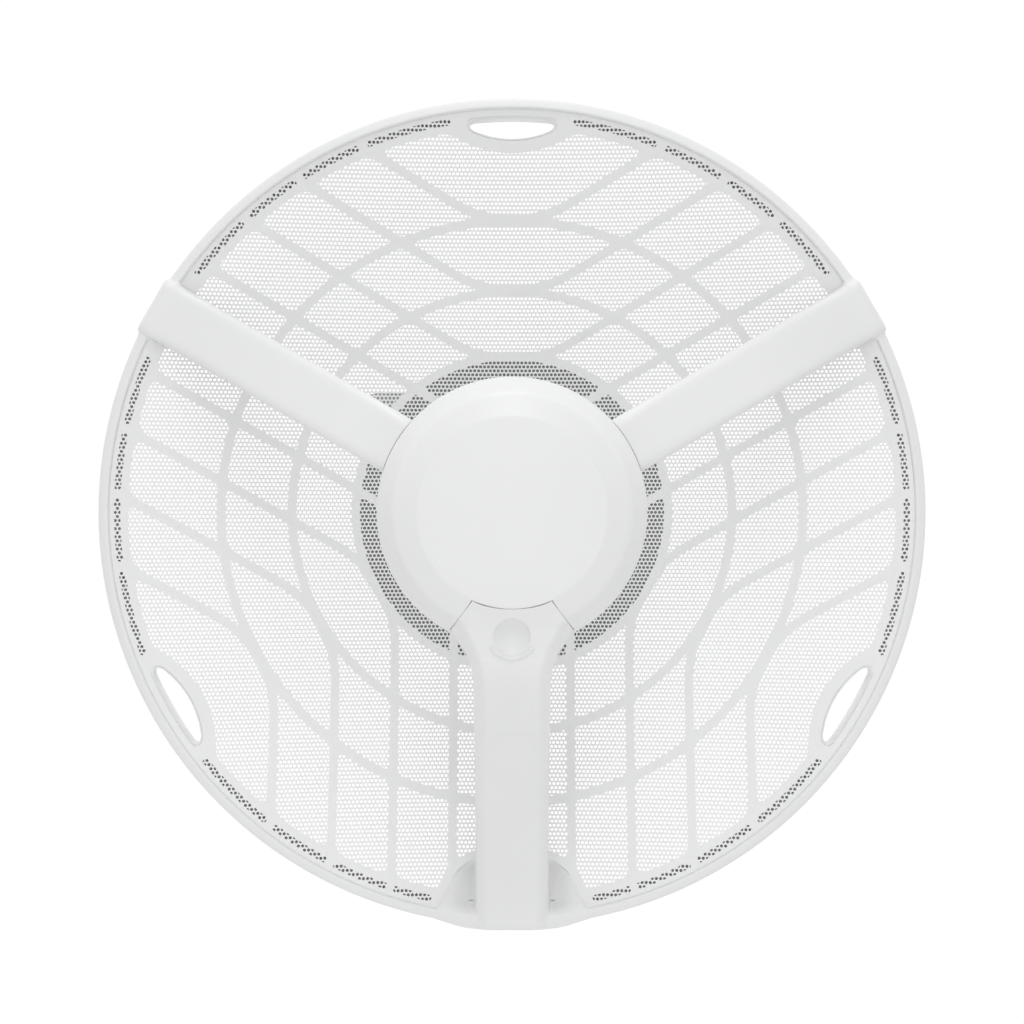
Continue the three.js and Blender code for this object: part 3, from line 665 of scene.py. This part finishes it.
RAY_FLATNESS = 0.3
RAY_LENGTH = 40.0
COLLAR = {"wall": 1.9, "seat": -1.15, "bevel": 0.25, "proud": 0.12, "gap": 0.12}


def slot_outline(grow, count=96):
    """The outline of the slot on +Z, grown by so much, found along rays from its middle."""
    t = np.linspace(0, 2 * math.pi, count, endpoint=False)
    ray_x, ray_z = np.cos(t), RAY_FLATNESS * np.sin(t)
    near, far = np.zeros(count), np.full(count, RAY_LENGTH)
    for _ in range(30):
        middle = (near + far) / 2
        inside = slot_distance(ray_x * middle, SLOT["middle"] + ray_z * middle) < grow
        near, far = np.where(inside, middle, near), np.where(inside, far, middle)
    return np.column_stack((ray_x * near, SLOT["middle"] + ray_z * near))


def make_collar(turn):
    """The wall that lines a slot, from its lip in the sheet's opening to the ring's back."""
    wall, seat, bevel, proud, gap = COLLAR.values()
    lip = SLOT["lip"] - gap
    rings = ((bevel, proud), (0.0, -0.15), (0.0, -4.0), (0.0, None), (wall, None), (wall, seat), (lip, seat),
             (lip, 0.0), (lip - bevel, proud))  # (growth, lift from the sheet), or no lift at the ring's back
    levels = []
    for grow, lift in rings:
        outline = slot_outline(grow)
        r = np.hypot(outline[:, 0], outline[:, 1])
        depth = np.full(len(r), RING_BACK - 0.2) if lift is None else dish_depth(r) + lift
        levels.append(np.column_stack((outline[:, 0], depth, outline[:, 1])))
    count = len(levels[0])
    points = spun(np.concatenate(levels), turn)
    faces = []
    for level in range(len(rings)):
        a, b = level * count, (level + 1) % len(rings) * count
        faces += [(a + i, a + (i + 1) % count, b + (i + 1) % count, b + i) for i in range(count)]
    return make_object("collar", placed(points), faces)


# Profiles are (radius, depth, rounding)
RING_INNER = 194.0
RING_PROFILE = (
    (RING_INNER, 54.6, 0.3), (195.2, 55.2, 0.3), (195.2, 51.5, 1.0), (199.9, 51.5, 1.0), (199.9, 58.2, 0.2),
    (201.15, 59.0, 0.1), (201.15, 61.8, 0.8), (202.0, RING_FRONT, 0.8),
    (RING_R, 61.9, 2.2), (RING_R, RING_BACK, 1.4), (RING_INNER, RING_BACK, 0.8),
)
LIP_PROFILE = ((201.25, 50.0, 0.5), (201.25, 61.9, 0.8), (202.0, 63.1, 0.8), (206.6, 62.0, 2.2),
               (206.6, 46.0, 1.0), (203.0, 46.0, 0.5))
SLOT_TOOL_DEPTHS = (30, 62)
FOOT_TOOL = ((188, 40), (203, 40), (203, 70), (188, 70))  # room for the foot's pockets, FOOT_ARC each way
FOOT_ARC = 8.4


def make_ring():
    ring = lathe("frame_ring", rounded(RING_PROFILE), segments=288)
    cut(ring, *[prism("slot_tool", slot_outline(grow=1.0), *SLOT_TOOL_DEPTHS, turn) for turn in SECTOR_TURNS])
    cut(ring, lathe("foot_tool", FOOT_TOOL, segments=24, arc=FOOT_ARC))
    ring = join("frame_ring", [ring] + [make_collar(turn) for turn in SECTOR_TURNS])
    shade(ring)
    finish_piece(ring, "front_frame")


END_DROP = 2.6  # an arm's front falls by this from its root to its end
ARM_THICKNESS = 14  # at the root, and ARM_GROWTH more at the hub
ARM_GROWTH = 6
ARM_OVER_SHEET = 0.6
ARM_FILLS_RING = 202.5  # from this radius on, an arm reaches back into the ring


def arm_reach(r, inner=ARM_INNER):
    """0 at an arm's root, 1 at the inner end."""
    return np.clip((ARM_ROOT - r) / (ARM_ROOT - inner), 0, 1)


def end_drop(r, end):
    return END_DROP * np.clip((r - ARM_ROOT) / (end - ARM_ROOT), 0, 1) ** 2


def upper_front(r):
    curve = ARM_ROOT_DEPTH + (UPPER_TOP - ARM_ROOT_DEPTH) * swell(arm_reach(r) ** 1.15)
    return curve - end_drop(r, UPPER_END)


def lower_front(r):
    outer = ARM_ROOT_DEPTH + (CREST[1] - ARM_ROOT_DEPTH) * swell(arm_reach(r, CREST[0]) ** 1.05)
    reach = 1.0 + 6.0 * swell((r - COVER_TOP) / 8) * swell((CREST[0] - r) / 6)
    inner = softly((*HUB_STEPS, CREST), r, reach)
    return np.where(r > CREST[0], outer, inner) - end_drop(r, LOWER_END)


def arm_back(r):
    behind = upper_front(np.maximum(r, ARM_INNER)) - ARM_THICKNESS - ARM_GROWTH * arm_reach(r)
    return np.where(r > ARM_FILLS_RING, RING_BACK + 2, np.maximum(behind, dish_depth(r) + ARM_OVER_SHEET))


def upper_half_width(r):
    return along(((ARM_INNER, 13.9), (ARM_ROOT, 15.1)), r)


# (radius, value) pairs along the lower arm, and for CREST_EDGE the (across, along) corners of the flat crest
LOWER_SIDES = ((40.1, 18.1), (53.7, 28.1), (55.5, 27.4), (59.6, 24.7), (65, 21.3), (71.6, 18.7), (78, 17.8),
               (84, 17.6), (150, 17.9), (200, 18.5), (LOWER_END, 17.4))
CREST_EDGE = ((30, 44), (24.4, 48.7), (23.4, 50.3), (20.4, 55.2), (17.1, 61.8), (14.4, 69.4), (12.9, 77),
              (12.6, 84), (12.8, 150), (13.2, 240))
FLANK_SLOPE = ((48, 2.22), (58, 2.15), (66, 1.9), (78, 1.7), (120, 1.5), (170, 1.15), (190, 0.9),
               (LOWER_END, 0.8))
FLANK_SOFTNESS = 1.0
SIDE_ROUNDING = 1.5


def past_crest(x, r):
    """How far a point of the lower arm lies outside its flat crest: negative on the crest."""
    x = np.abs(x)
    nearest = np.full(np.broadcast(x, r).shape, FAR)
    for (x0, r0), (x1, r1) in zip(CREST_EDGE, CREST_EDGE[1:]):
        length = math.hypot(x1 - x0, r1 - r0)
        ux, ur = (x1 - x0) / length, (r1 - r0) / length
        t = np.clip((x - x0) * ux + (r - r0) * ur, 0, length)
        nearest = np.minimum(nearest, np.hypot(x - x0 - t * ux, r - r0 - t * ur))
    edge = np.interp(r, [r for _, r in CREST_EDGE], [x for x, _ in CREST_EDGE])
    return np.where(x > edge, nearest, -nearest)


SCOOP = {"depth": 2.0, "top": 73.0, "low": 97.0, "end": 140.0, "half": 12.6}


def scoop(x, r):
    """A shallow hollow along the middle of the crest."""
    across = np.clip(1 - (x / SCOOP["half"]) ** 2, 0, 1) ** 2
    into = swell((r - SCOOP["top"]) / (SCOOP["low"] - SCOOP["top"]))
    out = swell((SCOOP["end"] - r) / (SCOOP["end"] - SCOOP["low"]))
    return SCOOP["depth"] * across * into * out


def flank_fall(x, r):
    past = past_crest(x, r)
    return along(FLANK_SLOPE, r) * (past + np.hypot(past, FLANK_SOFTNESS)) / 2


def side_fall(x, side):
    """The rounding of the arm's long edges, where its flanks meet its walls."""
    into = np.clip(SIDE_ROUNDING - (side - np.abs(x)), 0, SIDE_ROUNDING)
    return SIDE_ROUNDING - np.sqrt(SIDE_ROUNDING ** 2 - into ** 2)


FOOT_START = 175.0
TROUGH = {"start": 71.5, "end": 172.0, "half": 12.0, "corner": 1.5}
GUSSET_WALL = 2.6
POCKET = {"edge": 31.0, "width": 13.0, "depth": 5.2, "bottom": 203.0, "top": 174, "rise": 8.0}
ACROSS = np.sin(np.linspace(-0.5, 0.5, 41) * math.pi)  # places across the lower arm, closer at its edges
BACK_CORNER = 0.6
CORNER_STEPS = 6
PAST_BACK = 8  # a tool that hollows an arm runs this far out of its back


def bar(name, stations, section, turn):
    """A closed bar along a radius, from the section's (across, depth) points at each station."""
    loops = [np.asarray(section(r), float) for r in stations]
    count = len(loops[0])
    points = np.concatenate([np.column_stack((np.full(count, r), loop[:, 1], loop[:, 0]))
                             for r, loop in zip(stations, loops)])
    return make_object(name, placed(spun(points, turn)), capped_faces(len(stations), count))


def box_section(half, front, back, corner, inner=0.0):
    """A section with rounded front corners; inner shrinks it for a hollow."""
    def section(r):
        side, top, base = half(r) - inner, front(r) - inner, back(r)
        base, top = float(base), float(top)
        return rounded(((-side, base, BACK_CORNER), (-side, top, corner), (side, top, corner),
                        (side, base, BACK_CORNER)), CORNER_STEPS)
    return section


def ridge_section(r):
    """The lower arm's section: a flat crest and two sloping flanks."""
    side = along(LOWER_SIDES, r)
    x = ACROSS * side
    depth = lower_front(r) - flank_fall(x, r) - side_fall(x, side) - scoop(x, r)
    base = min(float(arm_back(r)), float(depth.min()) - 1)
    if r > FOOT_START:
        base = min(base, float(dish_depth(min(r, SHEET_R))) - POCKET["depth"] - GUSSET_WALL)
    return [(-side, base), *zip(x, depth), (side, base)]


HUB_SPACE = ((0.01, HUB_SEAM + 0.3), (HUB_R + 0.45, HUB_SEAM + 0.3), (HUB_R + 0.45, 230), (0.01, 230))
PATCH = {"sink": 0.35, "level": 0.6}  # a patch is level over this share of its arc


def hub_space():
    return lathe("hub_tool", HUB_SPACE, segments=160)


def rim_patch(turn, half_arc):
    """A stretch of the ring's lip for an arm to melt into, sunk below its skin at the ends."""
    patch = lathe("patch", rounded(LIP_PROFILE), segments=72, arc=half_arc, centre=turn)
    for vertex in patch.data.vertices:
        x, z = vertex.co.x / MM - DISH_X, vertex.co.z / MM
        away = abs((math.degrees(math.atan2(z, x)) - turn + 180) % 360 - 180) / half_arc
        sink = PATCH["sink"] * max(away - PATCH["level"], 0) / (1 - PATCH["level"])
        r = math.hypot(x, z)
        vertex.co.x -= sink * MM * x / r
        vertex.co.z -= sink * MM * z / r
        vertex.co.y += sink * MM
    return patch


CROSSING = (200, 202)  # where an arm's stations grow closer, at the ring
UPPER_START = 56
UPPER_HOLLOW = (72, 186)


def open_back(r):
    return arm_back(r) - PAST_BACK


def make_upper_arm(name, turn):
    stations = [*np.linspace(UPPER_START, CROSSING[0], 73), *np.linspace(CROSSING[1], UPPER_END, 8)]
    arm = bar(name, stations, box_section(upper_half_width, upper_front, arm_back, UPPER_CORNER), turn)
    hollow = bar("hollow", np.linspace(*UPPER_HOLLOW, 40),
                 box_section(upper_half_width, upper_front, open_back, corner=2.0, inner=ARM_WALL), turn)
    arm = join(name, [arm, rim_patch(turn, 9.0), *root_fillets(turn, upper_half_width(CROSSING[0]))])
    melt(arm, voxel_mm=0.8, smoothing=0.5, repeats=6)
    cut(arm, hollow, hub_space())
    shade(arm, 50)
    finish_piece(arm, "front_frame")


FOOT_OUTLINE = ((16.8, -LOWER_END), (22, -207.95), (27, -206.9), (32, -205.2), (36, -203.9), (40, -202.6),
                (38.6, -199.4), (36.4, -196), (34.7, -193), (32.5, -188), (30.6, -184), (28.3, -180.5),
                (24, -177), (19, -174.2), (14, -173))
GUSSET_STEP = 1.1
GUSSET_BACK = RING_BACK + 0.4
GUSSET_TOP = 70
GUSSET_OVER_SHEET = 0.5
RIM_RISE = {"start": 193.5, "length": 11.0, "delay": 2.5, "below_front": 0.3}  # delay is in the pocket
RIM_FALL = {"start": 204.5, "length": 4.0, "drop": 2.2}


def gusset_front(x, z):
    """The wings' front: near the sheet, sunk in a pocket beside the arm, and rising to the rim."""
    r = math.hypot(x, z)
    sheet = dish_depth(min(r, SHEET_R))
    pocket = float(swell((POCKET["edge"] - abs(x)) / POCKET["width"]))
    pocket *= float(swell((POCKET["bottom"] + z) / POCKET["rise"]))
    pocket *= float(swell((-z - POCKET["top"]) / POCKET["rise"]))
    low = sheet + GUSSET_OVER_SHEET - POCKET["depth"] * pocket
    delay = RIM_RISE["delay"] * pocket
    rise = float(swell((r - RIM_RISE["start"] - delay) / (RIM_RISE["length"] - delay)))
    over_edge = float(swell((r - RIM_FALL["start"]) / RIM_FALL["length"]))
    return low + (RING_FRONT - RIM_RISE["below_front"] - low) * rise - RIM_FALL["drop"] * over_edge


def make_gusset():
    outline = [*FOOT_OUTLINE, *[(-x, z) for x, z in reversed(FOOT_OUTLINE)]]
    wing = prism("gusset", outline, GUSSET_BACK, GUSSET_TOP)
    apply(wing, "REMESH", mode="VOXEL", voxel_size=GUSSET_STEP * MM)
    for vertex in wing.data.vertices:
        x, z = vertex.co.x / MM - DISH_X, vertex.co.z / MM
        depth = VERTEX_Y - vertex.co.y / MM
        front = gusset_front(x, z)
        back = min(GUSSET_BACK, front - GUSSET_WALL)
        share = (depth - GUSSET_BACK) / (GUSSET_TOP - GUSSET_BACK)
        vertex.co.y = (VERTEX_Y - (front if share > 0.5 else back)) * MM
    return wing


LATCH_PLACE = (20.4, -194.8)
LATCH_HALF = (1.3, 0.35)
LATCH_DEPTH = 0.9


def make_latches():
    """Tools for two small blind slots beside the arm, where its back cover latches."""
    x, z = LATCH_PLACE
    floor = gusset_front(x, z) - LATCH_DEPTH
    t = np.linspace(0, 2 * math.pi, 20, endpoint=False)
    slot = np.column_stack((LATCH_HALF[0] * np.cos(t), LATCH_HALF[1] * np.sin(t)))
    return [prism("latch", slot + (side * x, z), floor, floor + 12) for side in (-1, 1)]


ROOT_FILLET = 4.0
ROOT_SEAT = 201.4
ROOT_LAP = 1.5
ROOT_DEPTHS = (57.5, 62.4)


def root_fillets(turn, half):
    """Webs that round the corners between the rim's lip and an arm's sides."""
    arc = [(ROOT_SEAT - ROOT_FILLET * (1 - math.sin(t)), half + ROOT_FILLET * (1 - math.cos(t)))
           for t in np.linspace(0, math.pi / 2, 9)]
    outline = [(ROOT_SEAT + ROOT_LAP, half - ROOT_LAP), (ROOT_SEAT - ROOT_FILLET, half - ROOT_LAP), *arc,
               (ROOT_SEAT + ROOT_LAP, half + ROOT_FILLET)]
    mirrored = [(r, -across) for r, across in outline[::-1]]
    return [prism("web", side, *ROOT_DEPTHS, turn) for side in (mirrored, outline)]


BAY_STATIONS = (40, 46, 53.7, 58, 63, 67, TROUGH["start"], 80)
MOUTH_STATIONS = (38, 46, 53.7, 58, 63, 64.5, *np.linspace(67, COVER_END + END_GAP, 20))
MOUTH_HALF = 40.0
CUP_REACH = 64
SKIRT_GAP = 0.5
BAY_TOP = 205.0
MOUTH_TOP = 215.0


def trough_top(r):
    return lower_front(r) - SCOOP["depth"] - ARM_WALL


def skirt_top(r):
    """The frame's top under the port cover: the cup's edge, then just behind the skirt."""
    return HUB_SEAM - 0.1 if r < CUP_REACH else float(lower_front(r)) - COVER_SKIRT - SKIRT_GAP


def make_lower_arm():
    stations = [*np.linspace(46, 86, 41), *np.linspace(88, CROSSING[0], 57),
                *np.linspace(CROSSING[1], LOWER_END, 9)]
    arm = bar("frame_arm_lower", stations, ridge_section, DOWN)
    trough = bar("trough", np.linspace(TROUGH["start"], TROUGH["end"], 40),
                 box_section(lambda r: TROUGH["half"], trough_top, open_back, TROUGH["corner"]), DOWN)
    bay = bar("bay", BAY_STATIONS,
              box_section(lambda r: along(LOWER_SIDES, r) - ARM_WALL, lambda r: BAY_TOP,
                          lambda r: HUB_BACK + CUP_FLOOR, corner=1.0), DOWN)
    mouth = bar("mouth", MOUTH_STATIONS,
                box_section(lambda r: MOUTH_HALF, lambda r: MOUTH_TOP, skirt_top, corner=1.0), DOWN)
    arm = join("frame_arm_lower", [arm, make_gusset(), rim_patch(DOWN + 360, 13.5)])
    melt(arm, voxel_mm=0.85, smoothing=0.5, repeats=5)
    cut(arm, trough, bay, mouth, hub_space(), *make_latches())
    shade(arm, 50)
    finish_piece(arm, "front_frame")


WINDOW_R = 46.3
CUP_PROFILE = (
    (HUB_R, HUB_BACK, 1.6), (HUB_R, HUB_SEAM, 0.5), (HUB_R - ARM_WALL, HUB_SEAM, 0.5),
    (HUB_R - ARM_WALL, HUB_BACK + CUP_FLOOR, 0.8), (WINDOW_R, HUB_BACK + CUP_FLOOR, 0.4),
    (WINDOW_R, HUB_BACK, 0.4),
)
RADOME_PROFILE = (
    (0.02, 133.0, 0), (30, 134.4, 12), (50.6, 138.0, 1.2), (52, 139.7, 0.6), (46, 139.7, 0.2),
    (46, 142.6, 0.3), (44, 142.6, 0.3), (43.4, 139.0, 1), (30, 136.2, 6), (0.02, 134.8, 0),
)


def make_hub_rear():
    """The frame's cup, and the radome in its window."""
    cup = lathe("frame_hub_cup", rounded(CUP_PROFILE))
    finish_piece(cup, "front_frame")
    window = lathe("hub_radome", rounded(RADOME_PROFILE))
    finish_piece(window, "hub_rear_radome")


# ---- The hub's front cover and the port cover ----

HUB_PROFILE = ((HUB_R, HUB_EDGE, 0), (HUB_R, HUB_SHOULDER, 3.2),
               *((*step, rounding) for step, rounding in zip(HUB_STEPS[::-1], (2.2, 0.9, 16, 0))))
HUB_ROW = 1.6
HUB_COLUMNS = 240
SECTOR_COLUMNS = 22  # half of those that the port cover's sector takes
SECTOR_CORNER = (18.1, 40.1)
SECTOR_FLARE = (28.1, 53.7)
SEAM_HALF_GAP = 0.18
TOP_SEAM_GAP = 0.14
SEAM_DIP = 0.25


def sector_half_angle(r):
    """Half the angle of the port cover's sector at radius r."""
    low, high = math.hypot(*SECTOR_CORNER), math.hypot(*SECTOR_FLARE)
    at_low, at_high = (math.degrees(math.atan2(*corner)) for corner in (SECTOR_CORNER, SECTOR_FLARE))
    return along(((low, at_low), (high, at_high), (HUB_R + 1, at_high + 0.4)), r)


def hub_profile():
    """The hub cover's radii and depths, from edge to middle, at most HUB_ROW apart."""
    closed = rounded(HUB_PROFILE, 9)
    lengths = np.concatenate(([0], np.cumsum(np.linalg.norm(np.diff(closed, axis=0), axis=1))))
    extra = np.interp(np.arange(0, lengths[-1], HUB_ROW), lengths, np.arange(len(lengths)))
    order = np.unique(np.concatenate((np.arange(len(lengths)), extra)))
    r = np.interp(order, np.arange(len(lengths)), closed[:, 0])
    depth = np.interp(order, np.arange(len(lengths)), closed[:, 1])
    return r, depth


def hub_rows(edge_r):
    """The (radius, depth, is open) rows: open at the port cover's sector outside edge_r."""
    r, depth = hub_profile()
    outer_r = edge_r + 0.3
    outside, inside = r > outer_r, (r < edge_r - 0.1) & (r > 0.2)
    at_outer, at_edge = np.interp((outer_r, edge_r), r[::-1], depth[::-1])
    return [*((a, b, True) for a, b in zip(r[outside], depth[outside])),
            (outer_r, at_outer, True), (edge_r, at_edge, False),
            *((a, b, False) for a, b in zip(r[inside], depth[inside]))]


def column_turn(from_down, half):
    """A column's angle from straight down, where half is half the sector's angle."""
    if abs(from_down) < SECTOR_COLUMNS:
        return half * from_down / SECTOR_COLUMNS
    share = (abs(from_down) - SECTOR_COLUMNS) / (HUB_COLUMNS / 2 - SECTOR_COLUMNS)
    return (1 if from_down >= 0 else -1) * (half + (180 - half) * share)


def make_hub_cover():
    edge_r = COVER_TOP - TOP_SEAM_GAP / 2
    rows = hub_rows(edge_r)
    points, faces, index = [], [], {}
    for i, (radius, height, is_open) in enumerate(rows):
        half = sector_half_angle(radius if is_open else edge_r) + math.degrees(SEAM_HALF_GAP / radius)
        for j in range(HUB_COLUMNS):
            from_down = j - HUB_COLUMNS / 2
            if is_open and abs(from_down) < SECTOR_COLUMNS:
                continue
            at = math.radians(DOWN + column_turn(from_down, half))
            dip = SEAM_DIP if is_open and abs(from_down) == SECTOR_COLUMNS else 0.0
            index[i, j] = len(points)
            points.append((radius * math.cos(at), height - dip, radius * math.sin(at)))
    for i in range(len(rows) - 1):
        for j in range(HUB_COLUMNS):
            k = (j + 1) % HUB_COLUMNS
            corner = [(i, j), (i, k), (i + 1, k), (i + 1, j)]
            if all(c in index for c in corner):
                faces.append(tuple(index[c] for c in corner))
    faces.append(tuple(index[len(rows) - 1, j] for j in range(HUB_COLUMNS)))
    cover = make_object("hub_front_shell", placed(points), faces)
    apply(cover, "SOLIDIFY", thickness=ARM_WALL * MM, offset=-1.0)
    shade(cover, 40)
    finish_piece(cover, "hub_front_cover")


def dimple(x, z):
    """How far the thumb dimple and the crescent under it move the port cover's skin."""
    away = np.hypot(x, z - DIMPLE_Z)
    bowl = np.sqrt(BALL_R ** 2 - np.minimum(away, DIMPLE_R) ** 2) - math.sqrt(BALL_R ** 2 - DIMPLE_R ** 2)
    bowl *= 1 + DIMPLE_LEAN * (z - DIMPLE_Z) / DIMPLE_R
    upper = swell((z - DIMPLE_Z) / DIMPLE_R + 0.6)
    bowl += DIMPLE_STEP["depth"] * upper * swell((DIMPLE_R - away) / DIMPLE_STEP["width"])
    lip_z = DIMPLE_Z + CRESCENT["rise"]
    angle = np.radians(np.clip(np.degrees(np.arctan2(x, lip_z - z)), -CRESCENT["arc"], CRESCENT["arc"]))
    nearest_x = CRESCENT["r"] * np.sin(angle)
    nearest_z = lip_z - CRESCENT["r"] * np.cos(angle)
    from_lip = np.hypot(x - nearest_x, z - nearest_z) / CRESCENT["half"]
    lip = CRESCENT["height"] * np.cos(np.clip(from_lip, 0, 1) * math.pi / 2)
    return lip - bowl


def cover_depth(x, z):
    """The port cover's skin: the hub's bevel, running out onto the lower arm."""
    r, away = -z, np.hypot(x, z)
    near_hub = swell((60 - r) / 8)
    on_arm, on_hub = lower_front(np.maximum(r, BEVEL_R)), lower_front(np.minimum(away, CREST[0]))
    crown = on_arm * (1 - near_hub) + on_hub * near_hub
    fall = np.where(away < BEVEL_R, 0.0, flank_fall(x, r) * np.clip((away - BEVEL_R) / 1.5, 0, 1))
    return crown - fall - scoop(x, r) + dimple(x, z)


COVER_ACROSS = 161
COVER_WALL = 2.2
COVER_DIPS = {"top": 0.08, "end": 0.02, "side": 0.12}  # how far the skin's edges dip into the seams


def make_port_cover():
    even = np.linspace(-0.5, 0.5, COVER_ACROSS)
    u = np.sin(even * math.pi) * 0.5 + even
    top_z = -np.sqrt((COVER_TOP + TOP_SEAM_GAP / 2) ** 2 - (SECTOR_CORNER[0] * u) ** 2)
    shares = np.concatenate(([0, 0.002], np.linspace(0.006, 0.996, 200), [0.999, 1]))
    points = []
    for share in shares:
        z = top_z + share * (-COVER_END - top_z)
        r = -z
        on_seam = r < SECTOR_FLARE[1]
        side = along(LOWER_SIDES, r) - SEAM_HALF_GAP * on_seam
        x = u * side
        rounding = side_fall(x, side) * swell((r - 55) / 6)
        depth = cover_depth(x, z) - rounding
        depth -= COVER_DIPS["top"] * (share == 0.0) + COVER_DIPS["end"] * (share == 1.0)
        depth[[0, -1]] -= COVER_DIPS["side"] * on_seam[[0, -1]]
        floor = np.where(r < 63, HUB_EDGE, lower_front(r) - COVER_SKIRT)
        middle = (floor + depth) / 2
        points += [(x[0], floor[0], z[0]), (x[0], middle[0], z[0]), *zip(x, depth, z),
                   (x[-1], middle[-1], z[-1]), (x[-1], floor[-1], z[-1])]
    cover = make_object("port_cover_shell", placed(points), grid_faces(len(shares), COVER_ACROSS + 4))
    apply(cover, "SOLIDIFY", thickness=COVER_WALL * MM, offset=-1.0)
    shade(cover, 40)
    finish_piece(cover, "port_cover", body="cover")


# ---- CAD pieces whose shape is right: softened edges and a real finish ----

def soften(node, width_mm):
    """A copy of a CAD node with bevelled edges, which stands for it."""
    piece = link(node + "_finished", frame["nodes"][node].data.copy())
    outward(piece, flat_degrees=1.0)
    apply(piece, "BEVEL", width=width_mm * MM, segments=3, limit_method="ANGLE",
          angle_limit=math.radians(35), use_clamp_overlap=True)
    shade(piece, 35)
    finish_piece(piece, node, BODY_OF[node], SLOT_OF[node])


BODY_OF = {node: body for body, nodes in frame["record"]["behaviour"]["bodies"].items() for node in nodes}
SLOT_OF = {part["node"]: part["material_slot"] for part in frame["record"]["subparts"]}
SOFTENED = {"rear_plate": 0.9, "swivel_block": 0.9, "clamp_front_jaw": 1.2, "clamp_rear_jaw": 1.2}
FASTENER_BEVEL = 0.35
REMADE = {"reflector", "front_frame", "hub_front_cover", "hub_rear_radome", "port_cover"}


def finish_cad_pieces():
    for node, piece in frame["nodes"].items():
        if node in REMADE:
            continue
        width = SOFTENED.get(node)
        if width is None and any(word in node for word in ("bolt", "nut", "washer")):
            width = FASTENER_BEVEL
        if width is not None:
            soften(node, width)
            continue
        piece.data.materials.clear()
        piece.data.materials.append(FINISHES[SLOT_OF[node]])
        shade(piece, 35)


# ---- Stage, lights and camera ----

FLOOR_R = 1600
FLOOR_Z = -650


def make_stage():
    turns = np.linspace(0, 2 * math.pi, 96, endpoint=False)
    rim = [(FLOOR_R * math.cos(t) + DISH_X, FLOOR_R * math.sin(t), FLOOR_Z) for t in turns]
    floor = make_object("floor", rim, [tuple(range(len(rim)))])
    floor.data.materials.append(textured((0.82, 0.82, 0.82), 0.8, vary=0.01, grain=200.0))


LIGHT_LEVEL = 0.825
LIGHT_FROM_ABOVE = 0.15
LIGHT_FROM_BEHIND = 0.36
WHITE_TO_CAMERA = 1.02
# Each soft box's y and z and its size, in metres, and its radiance
SOFT_BOXES = {
    "front_box": ((-2.3, 0.25), (1.1, 1.1), 1.25),
    "high_box": ((-1.8, 1.3), (0.9, 0.9), 2.0),
    "top_box": ((-0.6, 1.5), (0.35, 1.6), 2.4),
    "low_box": ((-1.7, -0.42), (1.8, 0.4), 0.86),
}


def make_world():
    """A white room, brighter above and behind, and plain white to the camera."""
    world = bpy.data.worlds.new("studio")
    bpy.context.scene.world = world
    world.use_nodes = True
    tree = world.node_tree
    background = tree.nodes["Background"]
    lean = tree.nodes.new("ShaderNodeVectorMath")
    lean.operation = "DOT_PRODUCT"
    lean.inputs[1].default_value = (0, LIGHT_FROM_BEHIND, LIGHT_FROM_ABOVE)
    tree.links.new(tree.nodes.new("ShaderNodeTexCoord").outputs["Generated"], lean.inputs[0])
    level = tree.nodes.new("ShaderNodeMath")
    level.inputs[1].default_value = LIGHT_LEVEL
    tree.links.new(lean.outputs["Value"], level.inputs[0])
    choose = tree.nodes.new("ShaderNodeMix")
    choose.inputs["B"].default_value = WHITE_TO_CAMERA
    tree.links.new(tree.nodes.new("ShaderNodeLightPath").outputs["Is Camera Ray"], choose.inputs["Factor"])
    tree.links.new(level.outputs["Value"], choose.inputs["A"])
    tree.links.new(choose.outputs["Result"], background.inputs["Strength"])
    background.inputs["Color"].default_value = (1, 1, 1, 1)


def make_light(name, place, size, radiance):
    light = bpy.data.lights.new(name, "AREA")
    light.shape = "RECTANGLE"
    light.size, light.size_y = size
    light.energy = radiance * math.pi * size[0] * size[1]
    lamp = link(name, light)
    lamp.location = (DISH_X * MM, *place)
    target = Vector((DISH_X * MM, (VERTEX_Y - HUB_SEAM) * MM, 0))
    lamp.rotation_euler = (target - lamp.location).to_track_quat("-Z", "Y").to_euler()


CAMERA_AHEAD = 1480.0
LENS = 100.0


def make_camera():
    camera = link("camera", bpy.data.cameras.new("camera"))
    camera.data.lens = LENS
    camera.data.sensor_width = 36.0
    camera.data.clip_start = 0.05
    camera.location = (DISH_X * MM, (VERTEX_Y - CAMERA_AHEAD) * MM, 0)
    camera.rotation_euler = (math.radians(90), 0, 0)
    bpy.context.scene.camera = camera


# ---- The scene ----

make_camera()
make_world()
for box_name, settings in SOFT_BOXES.items():
    make_light(box_name, *settings)
make_stage()
bpy.context.scene.view_settings.view_transform = "Standard"

make_reflector()
make_ring()
make_upper_arm("frame_arm_left", 150)
make_upper_arm("frame_arm_right", 30)
make_lower_arm()
make_hub_rear()
make_hub_cover()
make_port_cover()
finish_cad_pieces()
